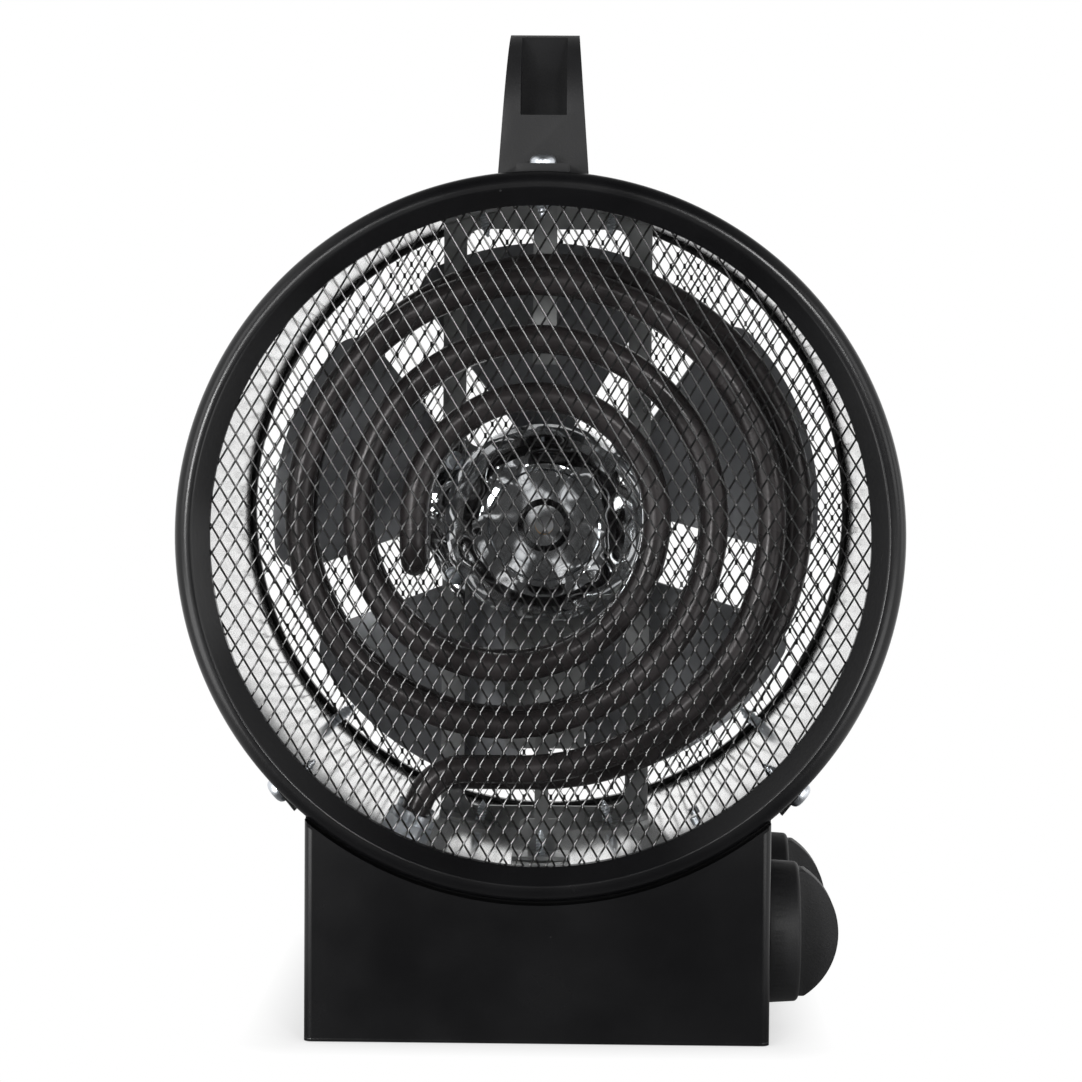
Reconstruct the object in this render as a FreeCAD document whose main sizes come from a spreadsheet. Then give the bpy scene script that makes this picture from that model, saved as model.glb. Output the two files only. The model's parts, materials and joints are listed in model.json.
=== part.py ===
import FreeCAD, Part
import math
import os
import re
import Sketcher
from FreeCAD import Vector

# Industrial electric fan heater: a drum with a wound heating element and a fan, on a control box.
# Frame: +Z up, the outlet faces -Y, the knobs are on +X, the origin is the middle of the base on the floor.
# Drum pieces use a drum frame: depth runs along +Y from the front rim's face, heights from the drum's axis.

# Driving dimensions, in millimetres and degrees
SIZES = (
    ("drum_lift", 43.0, "underside of the drum above the floor"),
    ("drum_length", 185.0, "front rim face to rear rim face"),
    ("casing_radius", 110.0, "outside of the casing"),
    ("sheet_gauge", 0.8, "steel sheet of casing, rims and box"),
    ("fit_gap", 0.05, "clearance of nested pieces"),
    ("run_gap", 0.04, "clearance of a turning shaft"),
    ("seat_gap", 0.3, "clearance of pieces that only rest"),
    ("end_angle", 1.64, "end of the casing, past the box's side"),
    ("screw_angle", 5.64, "lower casing screws, past the box's side"),
    ("flat_angle", 11.14, "start of the casing's straight end, past the box's side"),
    ("bead_depth", 6.0, "rolled edge of a rim"),
    ("bead_round", 4.2, "outer round of the rolled edge"),
    ("bead_inner_round", 2.2, "inner round of the rolled edge"),
    ("crest_flat", 1.0, "narrow front land of the rolled edge"),
    ("crest_round", 1.2, "round between the land and the slope"),
    ("rim_wall", 1.0, "wall of the rim along the axis"),
    ("rim_width", 10.2, "casing outside to the front opening"),
    ("front_slope", 5.5, "depth of the front rim's sloping band"),
    ("rear_slope", 2.5, "depth of the rear rim's sloping band"),
    ("rear_step", 2.0, "liner inside to the rear opening"),
    ("lip_length", 3.0, "turned-in lip behind a sloping band"),
    ("flange_length", 12.0, "flange of a rim inside the casing"),
    ("jacket", 4.6, "casing outside to liner inside"),
    ("liner_gauge", 0.5, "reflector sheet"),
    ("liner_inset", 2.0, "liner end behind a rim's face"),
    ("grille_gauge", 0.9, "thickness of a grille"),
    ("grille_overlap", 1.4, "grille past the rim's opening"),
    ("grille_rim", 2.4, "solid border of a grille"),
    ("mesh_width", 12.0, "diamond across"),
    ("mesh_height", 20.0, "diamond upright"),
    ("mesh_strand", 1.2, "strand between diamonds"),
    ("tube_diameter", 9.0, "heating element sheath"),
    ("element_depth", 45.0, "front layer of the element"),
    ("layer_pitch", 16.0, "front layer to rear layer"),
    ("coil_lift", 4.0, "half-turn joints above the axis"),
    ("coil_shift", 2.2, "upper arcs left of the axis"),
    ("coil_inner", 38.0, "innermost arc radius"),
    ("coil_margin", 31.4, "outermost upper arc inside the liner"),
    ("rear_outset", 9.2, "rear layer outside the front one at the right"),
    ("front_run_margin", 30.4, "front layer's bottom run inside the liner"),
    ("rear_run_margin", 26.4, "rear layer's bottom run inside the liner"),
    ("hairpin_leg", 6.5, "straight leg of the inner hairpin"),
    ("tail_angle", 24.0, "tails, from straight down"),
    ("tail_bend", 14.0, "bend from the bottom run to a tail"),
    ("tail_outside", 15.1, "tail outside the liner"),
    ("bush_radius", 6.2, "sleeve round a tail"),
    ("bush_inside", 8.4, "sleeve inside the liner"),
    ("bush_outside", 8.1, "sleeve outside the liner"),
    ("bush_nut_radius", 7.5, "corner radius of a sleeve's nut"),
    ("bush_nut_length", 4.4, "thickness of a sleeve's nut"),
    ("nut_sink", 0.8, "inner nut inside the liner's radius"),
    ("pin_radius", 2.0, "cold pin of the element"),
    ("pin_length", 15.0, "cold pin past the tail"),
    ("insulator_radius", 4.2, "ceramic collar"),
    ("insulator_length", 5.0, "ceramic collar along the pin"),
    ("support_width", 7.5, "element support strip"),
    ("support_gauge", 1.2, "element support sheet"),
    ("support_foot", 13.0, "foot of a support along the liner"),
    ("support_inner_end", 52.0, "support's inner end from the axis"),
    ("lower_strip", 4.4, "strip of the lower support"),
    ("shoulder_width", 13.8, "shoulder of the lower support"),
    ("shoulder_margin", 11.9, "shoulder's top inside the liner"),
    ("shoulder_round", 2.0, "corners of the shoulder"),
    ("waist_width", 8.7, "waist of the lower support"),
    ("waist_margin", 6.4, "waist's top inside the liner"),
    ("lower_foot_width", 18.3, "foot of the lower support across"),
    ("bracket_gauge", 1.5, "motor bracket sheet"),
    ("flange_gap", 34.0, "between the flange's two tabs"),
    ("strap_inset", 2.0, "bracket strap inside the cap's radius"),
    ("strap_width", 7.7, "bracket strap"),
    ("plate_half_height", 24.0, "motor plate between the straps"),
    ("tongue_width", 27.0, "motor plate's lower tongue"),
    ("tongue_margin", 27.9, "tongue's end inside the liner"),
    ("band_width", 8.4, "bracket's end bands inside the liner"),
    ("window_round", 5.0, "corners of the bracket's windows"),
    ("bracket_flange", 12.0, "bracket flange along the liner"),
    ("bracket_screw_angle", 12.0, "bracket screws, from upright"),
    ("shield_radius", 33.0, "bright cap over the motor"),
    ("shield_front", 80.0, "cap's front face"),
    ("shield_gauge", 0.6, "cap sheet"),
    ("shield_boss", 8.6, "cap's middle boss"),
    ("shield_groove", 18.4, "outside of the cap's groove"),
    ("shield_land", 20.0, "outside of the cap's front land"),
    ("shield_step", 2.2, "cap's land behind its front face"),
    ("shield_drop", 15.5, "start of the cap's skirt behind its front face"),
    ("shield_ear", 7.0, "ears of the cap past its skirt"),
    ("motor_gap", 3.5, "motor housing inside the cap's radius"),
    ("motor_setback", 12.0, "housing behind the cap's front face"),
    ("motor_length", 30.5, "front of the housing to the bracket"),
    ("motor_wall", 1.5, "motor housing wall"),
    ("end_plate_gauge", 2.0, "motor end plate"),
    ("boss_radius", 9.0, "bearing boss"),
    ("boss_reach", 5.0, "bearing boss past its wall"),
    ("bearing_radius", 6.0, "bearing bush outside"),
    ("bearing_length", 5.5, "bearing bush length"),
    ("rotor_radius", 19.3, "motor rotor"),
    ("air_gap", 0.5, "rotor to stator"),
    ("core_setback", 6.0, "iron core behind the housing's front"),
    ("core_length", 16.0, "length of the iron core"),
    ("winding_length", 3.4, "winding past the core"),
    ("shaft_radius", 3.0, "motor shaft"),
    ("shaft_tail", 2.0, "shaft past the fan's nut"),
    ("motor_screw_inset", 4.5, "motor screws inside the housing's radius"),
    ("fan_setback", 15.5, "fan's disc behind the bracket's front"),
    ("fan_gauge", 1.2, "fan sheet"),
    ("fan_tip_gap", 12.4, "blade tips inside the liner"),
    ("fan_disc", 22.0, "fan's middle disc"),
    ("fan_gap", 20.0, "gap between blades"),
    ("fan_pitch_angle", 15.0, "blade pitch"),
    ("fan_turn_angle", 2.0, "top blade from upright at rest"),
    ("fan_root_width", 16.0, "blade root"),
    ("fan_tip_round", 9.0, "round of a blade's corners"),
    ("hub_radius", 10.0, "fan hub"),
    ("hub_collar", 15.0, "collar behind the fan's disc"),
    ("hub_collar_length", 2.8, "collar along the shaft"),
    ("hub_front_length", 5.0, "hub in front of the disc"),
    ("hub_rear_length", 6.0, "hub behind the collar"),
    ("fan_nut_radius", 6.0, "corner radius of the fan's nut"),
    ("fan_nut_length", 4.5, "thickness of the fan's nut"),
    ("ring_reach", 7.0, "rim face to the curved lips and the rear panel"),
    ("front_reach", 1.5, "rim face in front of the box's front"),
    ("collar_gap", 1.0, "front rim to the curved edge of the box's front"),
    ("box_width", 141.0, "control box outside"),
    ("box_bend", 2.5, "bend of the box's upright edges"),
    ("base_gauge", 1.0, "base plate sheet"),
    ("tray_lip", 9.0, "base plate's turned-up lips"),
    ("panel_flange", 10.0, "flange of the box behind its rear panel"),
    ("panel_screw_height", 20.0, "lower panel screws above the base plate"),
    ("panel_screw_spacing", 30.0, "lower to upper panel screws"),
    ("tray_lip_gap", 2.0, "inner lips from the box's flanges"),
    ("saddle_lip", 10.0, "curved lip of the box under a rim"),
    ("saddle_half_width", 50.0, "half width of the curved lips"),
    ("saddle_screw_angle", 20.0, "saddle screws, from straight down"),
    ("base_screw_spread", 45.0, "base screws from the middle"),
    ("head_gap", 0.5, "handle leg behind its screw's head"),
    ("handle_height", 43.6, "handle above the casing"),
    ("handle_foot_width", 27.4, "handle at the casing"),
    ("handle_top_width", 21.1, "handle at its top"),
    ("handle_leg", 24.0, "leg along the drum"),
    ("handle_grip", 15.0, "grip's depth"),
    ("handle_round", 25.0, "outer corners of the handle"),
    ("handle_inner_round", 8.0, "inner corners of the handle"),
    ("scoop_width", 14.0, "hollow in the leg's face"),
    ("scoop_depth", 9.0, "hollow into the leg at its ledge"),
    ("scoop_lean", 18.0, "lean of the hollow's floor"),
    ("scoop_ledge", 17.5, "ledge under the hollow, above the casing"),
    ("tab_width", 16.0, "screw tab of the handle"),
    ("tab_height", 2.4, "screw tab above the casing"),
    ("screw_radius", 2.0, "casing screw shank"),
    ("screw_head_radius", 4.0, "casing screw head"),
    ("screw_head_height", 2.8, "casing screw head"),
    ("screw_inside", 9.4, "casing screw tip inside the liner"),
    ("small_screw_radius", 1.6, "small screw shank"),
    ("small_head_radius", 3.0, "small screw head"),
    ("small_head_height", 1.8, "small screw head"),
    ("hole_gap", 0.2, "clearance of a screw hole"),
    ("knob_radius", 22.2, "knob skirt"),
    ("knob_draft", 0.6, "taper of the skirt"),
    ("knob_gap", 0.5, "knob off the box's side"),
    ("knob_skirt", 9.6, "skirt along the axis"),
    ("knob_edge", 1.5, "round of the skirt's edge"),
    ("knob_grip", 12.4, "grip bar above the skirt"),
    ("knob_grip_width", 10.0, "grip bar across"),
    ("knob_grip_half", 20.6, "half length of the grip bar at the skirt"),
    ("knob_hollow", 18.5, "hollow under the knob"),
    ("knob_hollow_depth", 3.2, "depth of that hollow"),
    ("knob_height", 29.5, "knob axes above the floor"),
    ("knob_setback", 28.0, "front knob behind the box's front"),
    ("knob_spacing", 62.0, "front knob to rear knob"),
    ("spindle_radius", 3.0, "knob spindle"),
    ("spindle_inside", 14.0, "spindle inside the box's wall"),
    ("spindle_outside", 15.0, "spindle outside the box's wall"),
    ("neck_radius", 5.0, "neck of a switch through the wall"),
    ("neck_length", 3.0, "neck outside the wall"),
    ("control_screw_spread", 13.0, "control screws from the spindle"),
    ("thermostat_size", 34.0, "thermostat body, square"),
    ("thermostat_depth", 22.0, "thermostat body into the box"),
    ("switch_radius", 16.0, "selector switch body"),
    ("switch_depth", 24.0, "selector switch into the box"),
    ("tab_terminal_width", 6.3, "blade terminal"),
    ("tab_terminal_gauge", 0.8, "blade terminal"),
    ("tab_terminal_length", 8.0, "blade terminal"),
    ("gland_inset", 32.5, "cable gland from the box's left side"),
    ("gland_height", 26.0, "cable gland above the floor"),
    ("gland_bore", 4.2, "bore for an eight millimetre cord"),
    ("gland_thread", 8.0, "gland thread radius"),
    ("gland_thread_length", 9.0, "gland thread inside"),
    ("gland_collar", 11.0, "gland collar radius"),
    ("gland_collar_length", 5.0, "gland collar"),
    ("gland_dome", 9.4, "gland dome radius"),
    ("gland_dome_length", 9.0, "gland dome"),
    ("gland_nose", 6.6, "gland nose radius"),
    ("gland_nose_length", 4.0, "gland nose"),
    ("gland_nut_radius", 11.6, "corner radius of the gland's nut"),
    ("gland_nut_length", 4.5, "thickness of the gland's nut"),
    ("block_width", 34.0, "terminal block across"),
    ("block_depth", 18.0, "terminal block front to back"),
    ("block_height", 15.0, "terminal block upright"),
    ("block_round", 1.5, "terminal block corners"),
    ("block_x", -18.0, "terminal block middle"),
    ("block_y", 40.0, "terminal block middle"),
    ("block_pitch", 11.0, "poles of the terminal block"),
    ("block_row", 4.6, "terminal screws from the block's middle"),
    ("block_well", 5.0, "depth of a terminal screw's well"),
    ("earth_x", 25.0, "earth stud"),
    ("earth_y", 55.0, "earth stud"),
    ("earth_length", 13.0, "earth stud above the base plate"),
    ("earth_nut_radius", 4.0, "corner radius of the earth nut"),
    ("earth_nut_length", 3.2, "thickness of the earth nut"),
    ("cutout_angle", 28.0, "thermal cut-out, from straight down"),
    ("cutout_depth", 75.0, "thermal cut-out along the drum"),
    ("cutout_radius", 8.0, "thermal cut-out body"),
    ("cutout_height", 8.5, "thermal cut-out body"),
    ("cutout_plate_length", 28.0, "thermal cut-out plate"),
    ("cutout_plate_width", 9.0, "thermal cut-out plate"),
    ("cutout_screw_spread", 11.0, "thermal cut-out screws from its middle"),
    ("lead_radius", 1.3, "insulated lead"),
    ("lead_bend", 6.0, "bend of a lead"),
)
TURNS = 5
BLADES = 5
SMALLEST_GAP_AREA = 14.0
SAMPLE_STEP = 1.5
LEAST_SELF_GAP = 0.4

DOC = FreeCAD.newDocument("fan_heater")
SHEET = DOC.addObject("Spreadsheet::Sheet", "Sizes")
NAMES = set()
NODES = []

# Shared expressions
FACE = "(-drum_length / 2)"
AXIS = "(drum_lift + casing_radius)"
BOX_DEPTH = "(drum_length - 2 * ring_reach)"
BOX_FRONT = "(drum_length / 2 - front_reach)"
BOX_LENGTH = f"({BOX_FRONT} + {BOX_DEPTH} / 2)"
BOX_MIDDLE = f"(({BOX_DEPTH} / 2 - {BOX_FRONT}) / 2)"
WALL = "(box_width / 2)"
LINER = "(casing_radius - jacket)"
LINER_OUT = "(casing_radius - jacket + liner_gauge)"
FLANGE = "(casing_radius - sheet_gauge - fit_gap)"
FLANGE_IN = "(casing_radius - 2 * sheet_gauge - fit_gap)"
CREST = "(casing_radius - bead_round - crest_flat)"
FRONT_OPENING = "(casing_radius - rim_width)"
REAR_OPENING = "(casing_radius - jacket - rear_step)"
SCREW_DEPTH = "(bead_depth + flange_length / 2)"
REAR_SCREW_DEPTH = "(drum_length - bead_depth - flange_length / 2)"
SIDE_ANGLE = "asin(box_width / 2 / casing_radius) / 1 deg"
FLAT_ANGLE = f"({SIDE_ANGLE} + flat_angle)"
FLAT_LENGTH = "(casing_radius * tan(flat_angle - end_angle))"
FLAT_SCREW = "(casing_radius * tan(flat_angle - screw_angle))"
SADDLE = "(casing_radius - sheet_gauge - fit_gap + seat_gap)"
COLLAR = "(casing_radius + collar_gap)"
SCREW_TIP = "(casing_radius - jacket - screw_inside)"
STRAP = "(shield_radius - strap_inset)"
MOTOR_RADIUS = "(shield_radius - motor_gap)"
MOTOR_FRONT = "(shield_front + motor_setback)"
BRACKET = "(shield_front + motor_setback + motor_length)"
END_PLATE = f"({BRACKET} - end_plate_gauge)"
FAN = f"({BRACKET} + fan_setback)"
FAN_RADIUS = "(casing_radius - jacket - fan_tip_gap)"
FAN_HUB_END = f"({FAN} + fan_gauge + hub_collar_length + hub_rear_length)"
TAIL_REACH = f"({LINER_OUT} + tail_outside)"
BUSH_IN = f"({LINER} - bush_inside)"
BUSH_OUT = f"({LINER_OUT} + bush_outside)"
HANDLE_FRONT = f"({SCREW_DEPTH} + screw_head_radius + head_gap)"
GLAND_X = "(gland_inset - box_width / 2)"
MOTOR_SCREWS = f"({MOTOR_RADIUS} - motor_screw_inset)"
KNOB_FRONT_Y = "(-drum_length / 2 + ring_reach + knob_setback)"
KNOB_REAR_Y = "(-drum_length / 2 + ring_reach + knob_setback + knob_spacing)"


def fill_sheet():
    """Write the driving dimensions into the sheet, each with its alias and meaning."""
    for row, (name, value, meaning) in enumerate(SIZES, 1):
        SHEET.set(f"A{row}", name)
        SHEET.set(f"B{row}", str(value))
        SHEET.set(f"C{row}", meaning)
        SHEET.setAlias(f"B{row}", name)
        NAMES.add(name)
    DOC.recompute()


def cells(text):
    """Point every size named in an expression at its cell."""
    return re.sub(r"\b[a-z][a-z_]*\b", lambda word: prefixed(word.group()), text)


def prefixed(word):
    return "Sizes." + word if word in NAMES else word


def size(text):
    """Value of an expression of sizes."""
    return float(SHEET.evalExpression(cells(text)))


def bind(item, **expressions):
    for name, text in expressions.items():
        item.setExpression(name, cells(text))
    return item


def place(item, x="0", y="0", z="0", turns=(("0; 0; 1", "0"),)):
    """Bind an object's place and its turns, given as (axis, angle) pairs."""
    rotation = " * ".join(f"rotation(vector({axis}); {angle})" for axis, angle in turns)
    item.setExpression("Placement", cells(f"placement(vector({x}; {y}; {z}); {rotation})"))
    return item


def drum_place(item):
    """Put a piece drawn in the drum frame where the drum is."""
    return place(item, "0", FACE, AXIS)


def node(item, label):
    """Hand a finished object in as a sub-part."""
    item.Label = label
    NODES.append(item)
    return item


# Sketched bodies

def origin_plane(body, role):
    return next(item for item in body.Origin.OriginFeatures if item.Role == role)


def outline_sketch(body, name, plane, corners):
    """Closed outline whose corners are pairs of expressions."""
    sketch = body.newObject("Sketcher::SketchObject", name)
    sketch.AttachmentSupport = (origin_plane(body, plane), [""])
    sketch.MapMode = "FlatFace"
    points = [Vector(size(x), size(y), 0) for x, y in corners]
    count = len(points)
    for i in range(count):
        sketch.addGeometry(Part.LineSegment(points[i], points[(i + 1) % count]))
    for i in range(count):
        sketch.addConstraint(Sketcher.Constraint("Coincident", i, 2, (i + 1) % count, 1))
    for i, corner in enumerate(corners):
        for kind, text in zip(("DistanceX", "DistanceY"), corner):
            row = sketch.addConstraint(Sketcher.Constraint(kind, -1, 1, i, 1, size(text)))
            sketch.setExpression(f"Constraints[{row}]", cells(text))
    return sketch


def turned(name, corners, axis="V_Axis"):
    """Body of revolution: corners are (radius, depth), or (length, radius) about the H_Axis."""
    body = DOC.addObject("PartDesign::Body", name)
    turn_sketch = outline_sketch(body, name + "_outline", "XY_Plane", corners)
    turn = body.newObject("PartDesign::Revolution", name + "_turn")
    turn.Profile = turn_sketch
    turn.ReferenceAxis = (turn_sketch, [axis])
    turn.Angle = 360
    body.Tip = turn
    return body


def round_edges(body, name, radius, wanted):
    """Round the edges of a body's last feature that the test picks."""
    DOC.recompute()
    base = body.Tip
    chosen = [f"Edge{i}" for i, edge in enumerate(base.Shape.Edges, 1) if wanted(edge)]
    fillet = body.newObject("PartDesign::Fillet", name)
    fillet.Base = (base, chosen)
    bind(fillet, Radius=radius)
    body.Tip = fillet
    return body


def ring_edge(radius, depth):
    """Test for the round edge at a radius and depth of a body turned about Y."""
    def wanted(edge):
        if not isinstance(edge.Curve, Part.Circle):
            return False
        return abs(edge.Curve.Radius - size(radius)) < 1e-4 and abs(edge.Curve.Center.y - size(depth)) < 1e-4
    return wanted


def upright_edge(edge):
    low, high = edge.BoundBox.ZMin, edge.BoundBox.ZMax
    return high - low > 1e-3 and edge.BoundBox.XLength < 1e-6 and edge.BoundBox.YLength < 1e-6


def rounded_block(name, width, depth, height, radius):
    """Upright block on its middle with rounded upright edges."""
    x = f"(({width}) / 2)"
    y = f"(({depth}) / 2)"
    body = DOC.addObject("PartDesign::Body", name)
    corners = [(f"-{x}", f"-{y}"), (x, f"-{y}"), (x, y), (f"-{x}", y)]
    sketch = outline_sketch(body, name + "_outline", "XY_Plane", corners)
    pad = body.newObject("PartDesign::Pad", name + "_pad")
    pad.Profile = sketch
    bind(pad, Length=height)
    body.Tip = pad
    return round_edges(body, name + "_corners", radius, upright_edge)


# Plain solids

def block(name, width, depth, height, x, y, z, turns=(("0; 0; 1", "0"),)):
    item = DOC.addObject("Part::Box", name)
    bind(item, Length=width, Width=depth, Height=height)
    return place(item, x, y, z, turns)


def drum_block(name, width, front, back, low, high, x="0"):
    """Block of the drum frame, centred on x."""
    return block(name, width, f"{back} - ({front})", f"{high} - ({low})",
                 f"{x} - ({width}) / 2", f"{FACE} + {front}", f"{AXIS} + ({low})")


def drum_rod(name, radius, front, back, x="0", z="0"):
    """Cylinder along the drum."""
    item = DOC.addObject("Part::Cylinder", name)
    bind(item, Radius=radius, Height=f"{back} - ({front})")
    return place(item, x, f"{FACE} + {front}", f"{AXIS} + ({z})", (("1; 0; 0", "-90"),))


def radial_place(item, angle, start, depth, side="0"):
    """Stand a piece on the drum's radius at an angle from +X, starting at a distance from the axis."""
    x = f"({start}) * cos({angle}) + ({side}) * sin({angle})"
    z = f"{AXIS} + ({start}) * sin({angle}) - ({side}) * cos({angle})"
    return place(item, x, f"{FACE} + {depth}", z, (("0; 1; 0", f"90 - ({angle})"),))


def radial_rod(name, radius, angle, start, end, depth, side="0"):
    item = DOC.addObject("Part::Cylinder", name)
    bind(item, Radius=radius, Height=f"{end} - ({start})")
    return radial_place(item, angle, start, depth, side)


def radial_hex(name, radius, angle, start, end, depth):
    item = DOC.addObject("Part::Prism", name)
    item.Polygon = 6
    bind(item, Circumradius=radius, Height=f"{end} - ({start})")
    return radial_place(item, angle, start, depth)


def radial_block(name, width, length, height, angle, start, depth, side):
    item = DOC.addObject("Part::Box", name)
    bind(item, Length=width, Width=length, Height=height)
    return radial_place(item, angle, start, depth, side)


def side_rod(name, radius, start, end, y, z):
    """Cylinder along +X, measured from the box's side wall."""
    item = DOC.addObject("Part::Cylinder", name)
    bind(item, Radius=radius, Height=f"{end} - ({start})")
    return place(item, f"{WALL} + ({start})", y, z, (("0; 1; 0", "90"),))


def back_rod(name, radius, start, end, x, z):
    """Cylinder along +Y, measured from the box's rear wall."""
    item = DOC.addObject("Part::Cylinder", name)
    bind(item, Radius=radius, Height=f"{end} - ({start})")
    return place(item, x, f"{BOX_DEPTH} / 2 + ({start})", z, (("1; 0; 0", "-90"),))


def cut(name, base, *tools):
    """Base less one tool or several."""
    item = DOC.addObject("Part::Cut", name)
    item.Base = base
    item.Tool = tools[0] if len(tools) == 1 else fuse(name + "_tools", *tools)
    return item


def fuse(name, *shapes):
    item = DOC.addObject("Part::MultiFuse", name)
    item.Shapes = list(shapes)
    return item


def common(name, *shapes):
    item = DOC.addObject("Part::MultiCommon", name)
    item.Shapes = list(shapes)
    return item


def group(name, solids):
    """Separate solids that share one sub-part."""
    item = DOC.addObject("Part::Compound", name)
    item.Links = list(solids)
    return item


# Screws

def radial_screw(name, angle, tip, seat, depth, side="0", small=False):
    """Screw on the drum's radius: shank from tip to seat, head outside the seat."""
    shank, head, height = screw_sizes(small)
    return fuse(name,
                radial_rod(name + "_shank", shank, angle, tip, seat, depth, side),
                radial_rod(name + "_head", head, angle, seat, f"{seat} + {height}", depth, side))


def screw_sizes(small):
    if small:
        return "small_screw_radius", "small_head_radius", "small_head_height"
    return "screw_radius", "screw_head_radius", "screw_head_height"


def radial_hole(name, angle, depth, side="0", small=False):
    """Cutter for a radial screw's holes in the drum's sheets."""
    shank = screw_sizes(small)[0]
    return radial_rod(name, f"{shank} + hole_gap", angle, SCREW_TIP, "casing_radius + jacket", depth, side)


def lower_screw_places():
    """Angle, sideways step and name of the two casing screws on each rim."""
    return ((f"270 + {FLAT_ANGLE}", FLAT_SCREW, "right"), (f"270 - {FLAT_ANGLE}", f"-{FLAT_SCREW}", "left"))


def saddle_screw_places():
    return (("270 + saddle_screw_angle", "right"), ("270 - saddle_screw_angle", "left"))


def bracket_screw_places():
    return (("90 - bracket_screw_angle", "top_right"), ("90 + bracket_screw_angle", "top_left"),
            ("270 - bracket_screw_angle", "bottom_left"), ("270 + bracket_screw_angle", "bottom_right"))


def casing_holes(name, depth):
    """Cutters for the screws of one rim: two below and one in the handle's foot."""
    holes = [radial_hole(f"{name}_{tag}", angle, depth, side) for angle, side, tag in lower_screw_places()]
    holes.append(radial_hole(f"{name}_top", "90", depth))
    return holes


def saddle_holes(name, depth):
    return [radial_rod(f"{name}_{tag}", "small_screw_radius + hole_gap", angle, LINER_OUT,
                       "casing_radius + jacket", depth)
            for angle, tag in saddle_screw_places()]


# Drum shell

def make_casing():
    """Sheet wrapped round the drum, open below, with straight ends that stand off the rims."""
    start = "bead_depth + fit_gap"
    length = "drum_length - 2 * bead_depth - 2 * fit_gap"
    wrap = DOC.addObject("Part::Cylinder", "casing_wrap")
    bind(wrap, Radius="casing_radius", Height=length, Angle=f"360 - 2 * {FLAT_ANGLE}")
    place(wrap, "0", f"{FACE} + {start}", AXIS,
          (("0; 1; 0", f"{FLAT_ANGLE} - 270"), ("1; 0; 0", "-90")))
    core = drum_rod("casing_core", "casing_radius - sheet_gauge", "0", "drum_length")
    arc = cut("casing_arc", wrap, core)
    right = radial_block("casing_flat_right", FLAT_LENGTH, length, "sheet_gauge",
                         f"270 + {FLAT_ANGLE}", "casing_radius - sheet_gauge", start, "0")
    left = radial_block("casing_flat_left", FLAT_LENGTH, length, "sheet_gauge",
                        f"270 - {FLAT_ANGLE}", "casing_radius - sheet_gauge", start, f"-{FLAT_LENGTH}")
    sheet = fuse("casing_sheet", arc, right, left)
    holes = casing_holes("casing_front_hole", SCREW_DEPTH) + casing_holes("casing_rear_hole", REAR_SCREW_DEPTH)
    node(cut("outer_casing", sheet, *holes), "outer_casing")


def make_rim(label, opening, slope, depth_of, screw_depth):
    """Rolled rim: flange in the casing, rolled edge, sloping band and turned-in lip."""
    lip = f"{slope} + lip_length"
    corners = [(FLANGE, "bead_depth + flange_length"), (FLANGE, "bead_depth"), ("casing_radius", "bead_depth"),
               ("casing_radius", "0"), (CREST, "0"), (opening, slope), (opening, lip),
               (f"{opening} + sheet_gauge", lip), (f"{opening} + sheet_gauge", f"{slope} + rim_wall"),
               (CREST, "rim_wall"), (FLANGE_IN, "rim_wall"), (FLANGE_IN, "bead_depth + flange_length")]
    body = turned(label + "_blank", [(radius, depth_of(depth)) for radius, depth in corners])
    round_edges(body, label + "_bead", "bead_round", ring_edge("casing_radius", depth_of("0")))
    round_edges(body, label + "_inner_bead", "bead_inner_round", ring_edge(FLANGE_IN, depth_of("rim_wall")))
    round_edges(body, label + "_crest", "crest_round", ring_edge(CREST, depth_of("0")))
    drum_place(body)
    holes = casing_holes(label + "_hole", screw_depth) + saddle_holes(label + "_saddle_hole", screw_depth)
    node(cut(label, body, *holes), label)


def make_rims():
    make_rim("front_ring", FRONT_OPENING, "front_slope", lambda depth: f"({depth})", SCREW_DEPTH)
    make_rim("rear_ring", REAR_OPENING, "rear_slope", lambda depth: f"(drum_length - ({depth}))", REAR_SCREW_DEPTH)


def make_liner():
    """Reflector tube with holes for every screw and sleeve that passes it."""
    corners = [(LINER, "liner_inset"), (LINER_OUT, "liner_inset"),
               (LINER_OUT, "drum_length - liner_inset"), (LINER, "drum_length - liner_inset")]
    tube = drum_place(turned("liner_tube", corners))
    holes = casing_holes("liner_front_hole", SCREW_DEPTH) + casing_holes("liner_rear_hole", REAR_SCREW_DEPTH)
    for angle, tag in bracket_screw_places():
        holes.append(radial_hole(f"liner_bracket_hole_{tag}", angle, BRACKET_SCREW_DEPTH, small=True))
    for angle, tag, depth in SUPPORT_SCREWS:
        holes.append(radial_hole(f"liner_support_hole_{tag}", angle, depth, small=True))
    for depth, tag in element_layers():
        holes.append(radial_rod(f"liner_bush_hole_{tag}", "bush_radius + hole_gap", TAIL_DIRECTION,
                                SCREW_TIP, "casing_radius", depth))
    for sign, tag in (("-", "front"), ("+", "rear")):
        holes.append(radial_hole(f"liner_cutout_hole_{tag}", CUTOUT_DIRECTION,
                                 f"cutout_depth {sign} cutout_screw_spread", small=True))
    node(cut("inner_liner", tube, *holes), "inner_liner")


def diamond(middle, width, height):
    corners = [Vector(middle.x + width / 2, 0, middle.z), Vector(middle.x, 0, middle.z + height / 2),
               Vector(middle.x - width / 2, 0, middle.z), Vector(middle.x, 0, middle.z - height / 2)]
    return Part.makePolygon(corners + corners[:1])


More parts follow.
